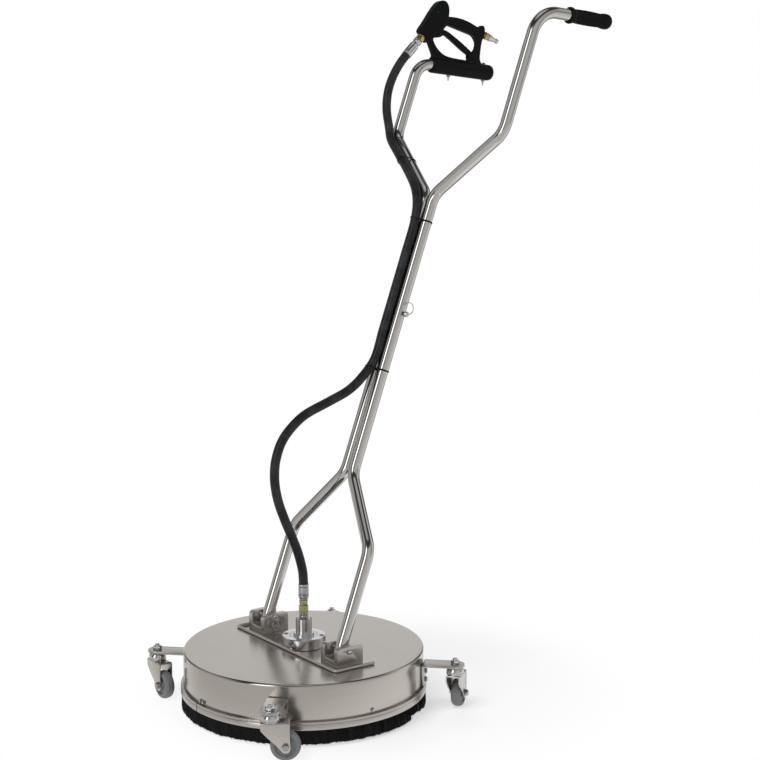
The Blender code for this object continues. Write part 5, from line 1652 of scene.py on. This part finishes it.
def inlet_coupling():
    """The fitting between the swivel's neck and the hose, and the washer under it."""
    low, high = STUB_TOP + GAP, FERRULE_LOW
    fitting = merged(
        disc(0.0072, STUB_TOP - 0.0200, high - GAP, 48, ease=0.0004),
        hexagon(0.0100, (0, 0, high - 0.0100), (0, 0, high - 0.0026), turn=0.35),
        disc(0.0086, high - 0.0136, high - 0.0108, 48, ease=0.0005),
        hexagon(0.0102, (0, 0, low + 0.0086), (0, 0, high - 0.0140), turn=0.1),
        disc(0.0088, low + 0.0038, low + 0.0082, 48, ease=0.0006),
    )
    piece(fitting, "inlet_coupling", YELLOW_ZINC, "deck", "yellow_zinc_fitting",
          "swivel_inlet_fitting")
    washer = [
        (0.0, low + 0.0036), (0.0094, low + 0.0036), (0.0106, low + 0.0024), (0.0106, low),
        (0.0, low),
    ]
    piece(lathe(eased(washer, 0.0008), 64), "swivel_neck_washer", BRIGHT_ZINC, "deck",
          "zinc_fitting")


# ------------------------------------------------------------ rotor under the deck
# (radius, height)
SHAFT_PROFILE = [
    (0.0, STUB_TOP - 0.0225), (SHAFT_R, STUB_TOP - 0.0225), (SHAFT_R, ROTOR_Z + 0.0160),
    (0.0090, ROTOR_Z + 0.0158), (0.0090, ROTOR_Z - 0.0050), (0.0, ROTOR_Z - 0.0050),
]
HUB_PROFILE = [
    (0.0093, ROTOR_Z + 0.0155), (0.0150, ROTOR_Z + 0.0155), (0.0200, ROTOR_Z + 0.0110),
    (0.0200, ROTOR_Z - 0.0110), (0.0180, ROTOR_Z - 0.0130), (0.0, ROTOR_Z - 0.0130),
    (0.0, ROTOR_Z - 0.0053), (0.0093, ROTOR_Z - 0.0053),
]
NOZZLE_PROFILE = [
    (0.0, 0.0090), (0.0060, 0.0090), (0.0060, 0.0030), (0.0045, 0.0), (0.0014, 0.0),
    (0.0009, 0.0012), (0.0, 0.0012),
]


def rotor():
    shaft = lathe(eased(SHAFT_PROFILE, 0.0005), 56)
    piece(shaft, "drive_shaft", ROTOR_STEEL, "rotor", "bracket_steel", "rotor_shaft")
    hub = combine(lathe(eased(HUB_PROFILE, 0.0006), 72), cut=[
        rod(0.0063, (sign * 0.0098, 0, ROTOR_Z), (sign * 0.0300, 0, ROTOR_Z), 32)
        for sign in (1, -1)
    ])
    piece(hub, "rotor_boss", ALLOY, "rotor", "swivel_alloy", "rotor_hub", angle=34)
    for name, sign in (("a", 1), ("b", -1)):
        x = sign * ARM_REACH
        path = bent(
            [(sign * 0.0105, 0, ROTOR_Z), (x, 0, ROTOR_Z), (x, 0, NOZZLE_TIP + 0.0203)], 0.009, 10)
        nut = hexagon(0.0090, (sign * 0.0208, 0, ROTOR_Z), (sign * 0.0290, 0, ROTOR_Z))
        piece(merged(sweep(spaced(path, 0.02), 0.0060, 28), nut), f"rotor_arm_{name}",
              ROTOR_STEEL, "rotor", "deck_steel", f"spray_arm_{name}", angle=40)
        tip = merged(
            hexagon(0.0085, (x, 0, NOZZLE_TIP + 0.0080), (x, 0, NOZZLE_TIP + 0.0200)),
            lathe(eased(NOZZLE_PROFILE, 0.0004), 36, (x, 0, NOZZLE_TIP), (0, 0, 1)),
        )
        piece(tip, f"fan_nozzle_{name}", BRASS, "rotor", "brass_fitting", f"spray_nozzle_{name}")


# ------------------------------------------------------------ casters
# Drawn round a king pin on the Z axis: the bracket's wall lies towards -X, the fork trails to +X.
def caster_bracket():
    wall, half = BRACKET_WALL, PLATE_W / 2
    section = rounded([
        (wall, LEG_BOTTOM), (wall, PLATE_TOP), (0.021, PLATE_TOP), (0.021, PLATE_TOP - PLATE_T),
        (wall + PLATE_T, PLATE_TOP - PLATE_T), (wall + PLATE_T, LEG_BOTTOM),
    ], [0, 0.0045, 0, 0, 0.0010, 0])
    nose = [math.radians(-90 + 180 * k / 24) for k in range(1, 24)]
    plan = [
        (wall - 0.001, -half - 0.001), (0.0, -half - 0.00001),
        *[(half * math.cos(a), half * math.sin(a)) for a in nose],
        (0.0, half + 0.00001), (wall - 0.001, half + 0.001),
    ]
    bracket = combine(
        upright(outline(section, PLATE_W)),
        cut=[rod(KING_R + GAP, (0, 0, 0.08), (0, 0, 0.12), 40)],
        keep=[moved(outline(plan, 0.08), Matrix.Translation((0, 0, 0.08)))],
    )
    return softened(bracket, 0.0006)


def caster_bolts():
    return merged(*[
        bolt((BRACKET_WALL + PLATE_T, 0, z), (1, 0, 0), head_r=0.0050, head_h=0.0036, washer=0.0010)
        for z in (0.0825, 0.0640)
    ])


# (radius, height): the domed ball race under the plate
RACE_PROFILE = [
    (0.0, DOME_TOP), (0.0118, DOME_TOP), (0.0132, DOME_TOP - 0.0004),
    (0.0150, DOME_TOP - 0.0016), (0.0166, DOME_TOP - 0.0036), (0.0178, DOME_TOP - 0.0062),
    (0.0185, DOME_TOP - 0.0092), (0.0186, DOME_BOTTOM + 0.0034), (0.0180, DOME_BOTTOM + 0.0028),
    (0.0180, DOME_BOTTOM + 0.0022), (0.0188, DOME_BOTTOM + 0.0016),
    (0.0188, DOME_BOTTOM + 0.0002), (0.0180, DOME_BOTTOM), (0.0, DOME_BOTTOM),
]


def caster_king_pin():
    """The race, a washer and nut on the plate, the pin and its lower head."""
    pin = [
        (0.0, PLATE_TOP + 0.0125), (KING_R - 0.0010, PLATE_TOP + 0.0125),
        (KING_R - 0.0002, PLATE_TOP + 0.0116), (KING_R - 0.0002, DOME_BOTTOM - 0.006),
        (0.0, DOME_BOTTOM - 0.006),
    ]
    return merged(
        lathe(RACE_PROFILE, 64),
        rod(0.0096, (0, 0, PLATE_TOP + 0.0001), (0, 0, PLATE_TOP + 0.0013), 48, chamfer=0.0003),
        hexagon(0.0096, (0, 0, PLATE_TOP + 0.0012), (0, 0, PLATE_TOP + 0.0082), 0.4, 0.0008),
        lathe(pin, 32),
        disc(0.0080, CROWN_LOW - 0.0030, CROWN_LOW - GAP, 40, ease=0.0008),
    )


# The fork's side view: (x, z, corner radius)
CHEEK = [
    (-0.0190, CROWN_TOP, 0.001), (0.0350, CROWN_TOP, 0.002), (0.0374, 0.0745, 0.001),
    (0.0374, 0.0430, 0.014), (0.0385, 0.0265, 0.007), (0.0345, 0.0185, 0.007),
    (0.0250, 0.0185, 0.007), (0.0100, 0.0350, 0.020), (-0.0080, 0.0520, 0.020),
    (-0.0188, 0.0640, 0.004),
]


def caster_fork():
    """A bent channel, trimmed to the cheeks' outline."""
    low, inside = 0.010, FORK_HALF - FORK_T
    channel = rounded([
        (-FORK_HALF, low), (-FORK_HALF, CROWN_TOP), (FORK_HALF, CROWN_TOP), (FORK_HALF, low),
        (inside, low), (inside, CROWN_LOW), (-inside, CROWN_LOW), (-inside, low),
    ], [0, 0.0042, 0.0042, 0, 0, 0.0018, 0.0018, 0])
    cheek = rounded([(x, z) for x, z, _ in CHEEK], [radius for _, _, radius in CHEEK])
    fork = combine(
        standing(outline(channel, 0.090)),
        cut=[
            rod(KING_R + GAP, (0, 0, 0.05), (0, 0, 0.09), 40),
            rod(AXLE_R + GAP, (TRAIL, -0.03, WHEEL_R), (TRAIL, 0.03, WHEEL_R), 32),
        ],
        keep=[upright(outline(cheek, 0.060), depth=1)],
    )
    return softened(fork, 0.0005)


def caster_axle():
    """The axle bolt: its head and washer at -Y, its nut and washer at +Y."""
    side = FORK_HALF

    def at(y):
        return (TRAIL, y, WHEEL_R)

    return merged(
        rod(AXLE_R, at(-side - 0.0060), at(side + 0.0055), 32, chamfer=0.0006),
        rod(0.0074, at(-side - 0.0013), at(-side - GAP), 40, chamfer=0.0003),
        hexagon(0.0068, at(-side - 0.0058), at(-side - 0.0012), turn=0.2),
        rod(0.0074, at(side + GAP), at(side + 0.0013), 40, chamfer=0.0003),
        hexagon(0.0066, at(side + 0.0012), at(side + 0.0044), turn=0.5),
    )


def caster_wheel():
    face = WHEEL_W / 2
    tyre = [    # (radius, distance from the wheel's middle), from the bore to the crown
        (AXLE_R + GAP, face + 0.0006), (0.0088, face + 0.0006), (0.0096, face - 0.0002),
        (0.0100, face - 0.0030), (0.0115, face - 0.0034), (0.0185, face - 0.0034),
        (0.0198, face - 0.0028), (0.0206, face - 0.0006), (0.0218, face),
        (0.0240, face - 0.0001), (0.0262, face - 0.0008), (0.0281, face - 0.0026),
        (0.0293, face - 0.0054), (0.0299, face - 0.0084), (0.0300, 0.0),
    ]
    mirrored = [(radius, -z) for radius, z in reversed(tyre[:-1])]
    return lathe(tyre + mirrored, 96, (TRAIL, 0, WHEEL_R), (0, 1, 0))


# part, its shape, material, slot, and the body it rides on
CASTER_PARTS = (
    ("bracket", caster_bracket, PLATE_STEEL, "deck_steel", "deck"),
    ("king_pin", caster_king_pin, CHROME, "plated_steel", "deck"),
    ("fork", caster_fork, FORK_STEEL, "deck_steel", "caster_swivel_{}"),
    ("axle", caster_axle, BOLT_STEEL, "plated_steel", "caster_swivel_{}"),
    ("wheel", caster_wheel, WHEEL_RUBBER, "wheel_rubber", "caster_wheel_{}"),
    ("bolts", caster_bolts, BOLT_STEEL, "plated_steel", "deck"),
)


def casters():
    shapes = [solid(build()) for _, build, _, _, _ in CASTER_PARTS]
    for corner, (bearing, trail_bearing) in CASTERS.items():
        angle = math.radians(bearing)
        at = Vector((CASTER_REACH * math.cos(angle), CASTER_REACH * math.sin(angle), 0))
        for shape, (part, _, look, slot, body) in zip(shapes, CASTER_PARTS):
            turn = math.radians(bearing if body == "deck" else trail_bearing)
            copy = duplicate(shape)
            copy.matrix_world = Matrix.Translation(at) @ Matrix.Rotation(turn, 4, "Z")
            nodes = () if part == "bolts" else (f"caster_{part}_{corner}",)
            piece(copy, f"{part}_of_{corner}_caster", look, body.format(corner), slot, *nodes)
    for shape in shapes:
        discard(shape)


# ------------------------------------------------------------ the frame's own nodes that show
KEPT = {
    "swivel_bearing": CHROME,
    "trigger_pin": BLACK_STEEL,
    "valve_body": BRASS,
    "valve_rod": CHROME,
    "valve_spring": BOLT_STEEL,
}


def finish_kept_nodes():
    for node, look in KEPT.items():
        materials = frame["nodes"][node].data.materials
        materials.clear()
        materials.append(look)


# ------------------------------------------------------------ studio
# What metal mirrors: (degrees from the camera's bearing, brightness)
FLOOR_LEVELS = [
    (-180, 0.55), (-165, 0.85), (-120, 0.80), (-80, 0.62), (-30, 0.66), (20, 0.62), (75, 0.70),
    (112, 0.92), (128, 0.60), (140, 0.22), (152, 0.28), (165, 0.62), (180, 0.55),
]
WALL_LEVELS = [
    (-180, 0.80), (-158, 0.72), (-146, 0.22), (-132, 0.16), (-118, 0.42), (-92, 0.50),
    (-74, 0.40), (-62, 0.06), (-50, 0.04), (-44, 2.4), (-29, 2.6), (-23, 0.55), (-14, 0.20),
    (-4, 0.42), (18, 0.56), (44, 0.62), (64, 0.48), (86, 0.34), (100, 0.62), (116, 0.86),
    (128, 0.30), (142, 0.10), (156, 0.40), (166, 0.74), (180, 0.80),
]
WALL_PEAK = 2.6    # the wall's ramp is stored as shares of this
# By the height of the ray's direction: the ceiling's brightness, and the wall's share
CEILING_LEVELS = [(0.0, 0.50), (0.60, 0.50), (0.72, 0.06), (0.90, 0.05), (0.96, 0.45), (1.0, 0.60)]
WALL_SHARE = [(0.0, 1.0), (0.62, 1.0), (0.76, 0.0), (1.0, 0.0)]


def empty_nodes(owner, math_inputs=3):
    owner.use_nodes = True
    owner.node_tree.nodes.clear()
    return Nodes(owner.node_tree, math_inputs)


def grey_stops(levels):
    return [(position, (level, level, level)) for position, level in levels]


def floor_paint():
    """White paint that fades into a glow away from the machine; metal mirrors a greyer floor."""
    paint = bpy.data.materials.new("pale_floor")
    nodes = empty_nodes(paint, math_inputs=2)
    out = nodes.add("ShaderNodeOutputMaterial")
    diffuse = nodes.add("ShaderNodeBsdfDiffuse", {"Color": (0.93, 0.93, 0.93)})
    glow = nodes.add("ShaderNodeEmission", {"Color": (1, 1, 1), "Strength": 1.0})
    where = nodes.add("ShaderNodeTexCoord").outputs["Object"]
    distance = nodes.add("ShaderNodeVectorMath", {0: where}, operation="LENGTH").outputs["Value"]
    fade = nodes.add("ShaderNodeMapRange", {
        "Value": distance, "From Min": 0.25, "From Max": 0.62, "To Min": 0.55,
    }, interpolation_type="SMOOTHERSTEP")
    seen = nodes.add("ShaderNodeMixShader", {
        "Fac": fade.outputs[0], 1: diffuse.outputs[0], 2: glow.outputs[0],
    })
    ray = nodes.add("ShaderNodeLightPath")
    spot = nodes.split(where)
    share = nodes.share_of_turn(spot["X"], nodes.math("SUBTRACT", spot["Y"], DECK.y))
    tone = nodes.colour_ramp(share, [
        ((degrees + 180) / 360, (level, level * 0.985, level * 0.97))    # slightly warm greys
        for degrees, level in FLOOR_LEVELS
    ])
    mirrored = nodes.add("ShaderNodeEmission", {"Color": tone})
    far = nodes.add("ShaderNodeMapRange", {
        "Value": distance, "From Min": 0.30, "From Max": 0.75,
    }, interpolation_type="SMOOTHSTEP")
    choice = nodes.add("ShaderNodeMixShader", {
        "Fac": nodes.math("MULTIPLY", ray.outputs["Is Glossy Ray"], far.outputs[0]),
        1: seen.outputs[0],
        2: mirrored.outputs[0],
    })
    nodes.feed(out.inputs["Surface"], choice.outputs[0])
    return paint


def studio_floor():
    disc_mesh = bmesh.new()
    bmesh.ops.create_circle(disc_mesh, cap_ends=True, segments=96, radius=60.0)
    data = bpy.data.meshes.new("studio_floor")
    disc_mesh.to_mesh(data)
    disc_mesh.free()
    floor = bpy.data.objects.new("studio_floor", data)
    STUDIO.objects.link(floor)
    floor.data.materials.append(floor_paint())


def studio_world():
    """White to the camera; a room of light and dark walls to every other ray."""
    world = bpy.data.worlds.new("studio")
    bpy.context.scene.world = world
    nodes = empty_nodes(world)
    out = nodes.add("ShaderNodeOutputWorld")
    back = nodes.add("ShaderNodeBackground")
    nodes.feed(out.inputs["Surface"], back.outputs[0])
    path = nodes.add("ShaderNodeLightPath")
    ray = nodes.split(nodes.add("ShaderNodeTexCoord").outputs["Generated"])

    def scaled(colour, scale):
        inputs = {0: colour, "Scale": scale}
        return nodes.add("ShaderNodeVectorMath", inputs, operation="SCALE").outputs[0]

    wall = nodes.colour_ramp(nodes.share_of_turn(ray["X"], ray["Y"]), grey_stops(
        ((degrees + 180) / 360, level / WALL_PEAK) for degrees, level in WALL_LEVELS
    ))
    ceiling = nodes.colour_ramp(ray["Z"], grey_stops(CEILING_LEVELS))
    wall_share = nodes.colour_ramp(ray["Z"], grey_stops(WALL_SHARE))
    room = nodes.mix(wall_share, scaled(ceiling, scale=1.0), scaled(wall, scale=WALL_PEAK))
    seen = nodes.mix(path.outputs["Is Camera Ray"], room, (1, 1, 1))
    nodes.feed(back.inputs["Color"], seen)


def softbox(name, bearing, elevation, distance, size, watts):
    """A soft square light aimed at the machine; bearings turn from the front (-Y) to the right."""
    data = bpy.data.lights.new(name, "AREA")
    data.shape = "RECTANGLE"
    data.size = size
    data.size_y = size
    data.energy = watts
    light = bpy.data.objects.new(name, data)
    around, above = math.radians(bearing), math.radians(elevation)
    out = Vector((
        math.sin(around) * math.cos(above), -math.cos(around) * math.cos(above), math.sin(above)
    ))
    middle = (cad_low + cad_high) / 2
    light.location = Vector((middle.x, middle.y, 0.5)) + out * distance
    light.rotation_mode = "QUATERNION"
    light.rotation_quaternion = out.to_track_quat("Z", "Y")
    light.visible_glossy = False
    STUDIO.objects.link(light)


def studio_camera():
    data = bpy.data.cameras.new("camera")
    data.lens = 69.36
    data.sensor_width = 36.0
    data.clip_start, data.clip_end = 0.1, 100.0
    camera = bpy.data.objects.new("camera", data)
    camera.location = CAMERA_AT + DECK
    camera.rotation_euler = tuple(math.radians(angle) for angle in CAMERA_TURN)
    STUDIO.objects.link(camera)
    bpy.context.scene.camera = camera


# ------------------------------------------------------------ build
deck_shell()
clamp_band()
skirt_bolts()
bristle_skirt()
deck_rod()
for side, sign in SIDES:
    pivot_block(side, sign)
    hinge_pin(side, sign)
for side, sign in SIDES:
    lower_leg(side, sign)
    upper_arm(side, sign)
splice_lock_pin()
hand_grip()
gun_halves()
trigger_lever()
sleeve_bolts()
shell_screws()
gun_fittings()
lower_ferrule()
pressure_hose()
cable_ties()
swivel()
inlet_coupling()
rotor()
casters()
finish_kept_nodes()

for leftover in list(WORK.objects):
    discard(leftover)
bpy.context.scene.collection.children.unlink(WORK)

studio_floor()
studio_world()
softbox("key_light", bearing=15.0, elevation=52.0, distance=3.4, size=1.8, watts=70.0)
softbox("fill_light", bearing=120.0, elevation=40.0, distance=3.6, size=1.6, watts=26.0)
softbox("back_light", bearing=250.0, elevation=48.0, distance=3.6, size=1.6, watts=26.0)
studio_camera()
bpy.context.scene.view_settings.view_transform = "Standard"
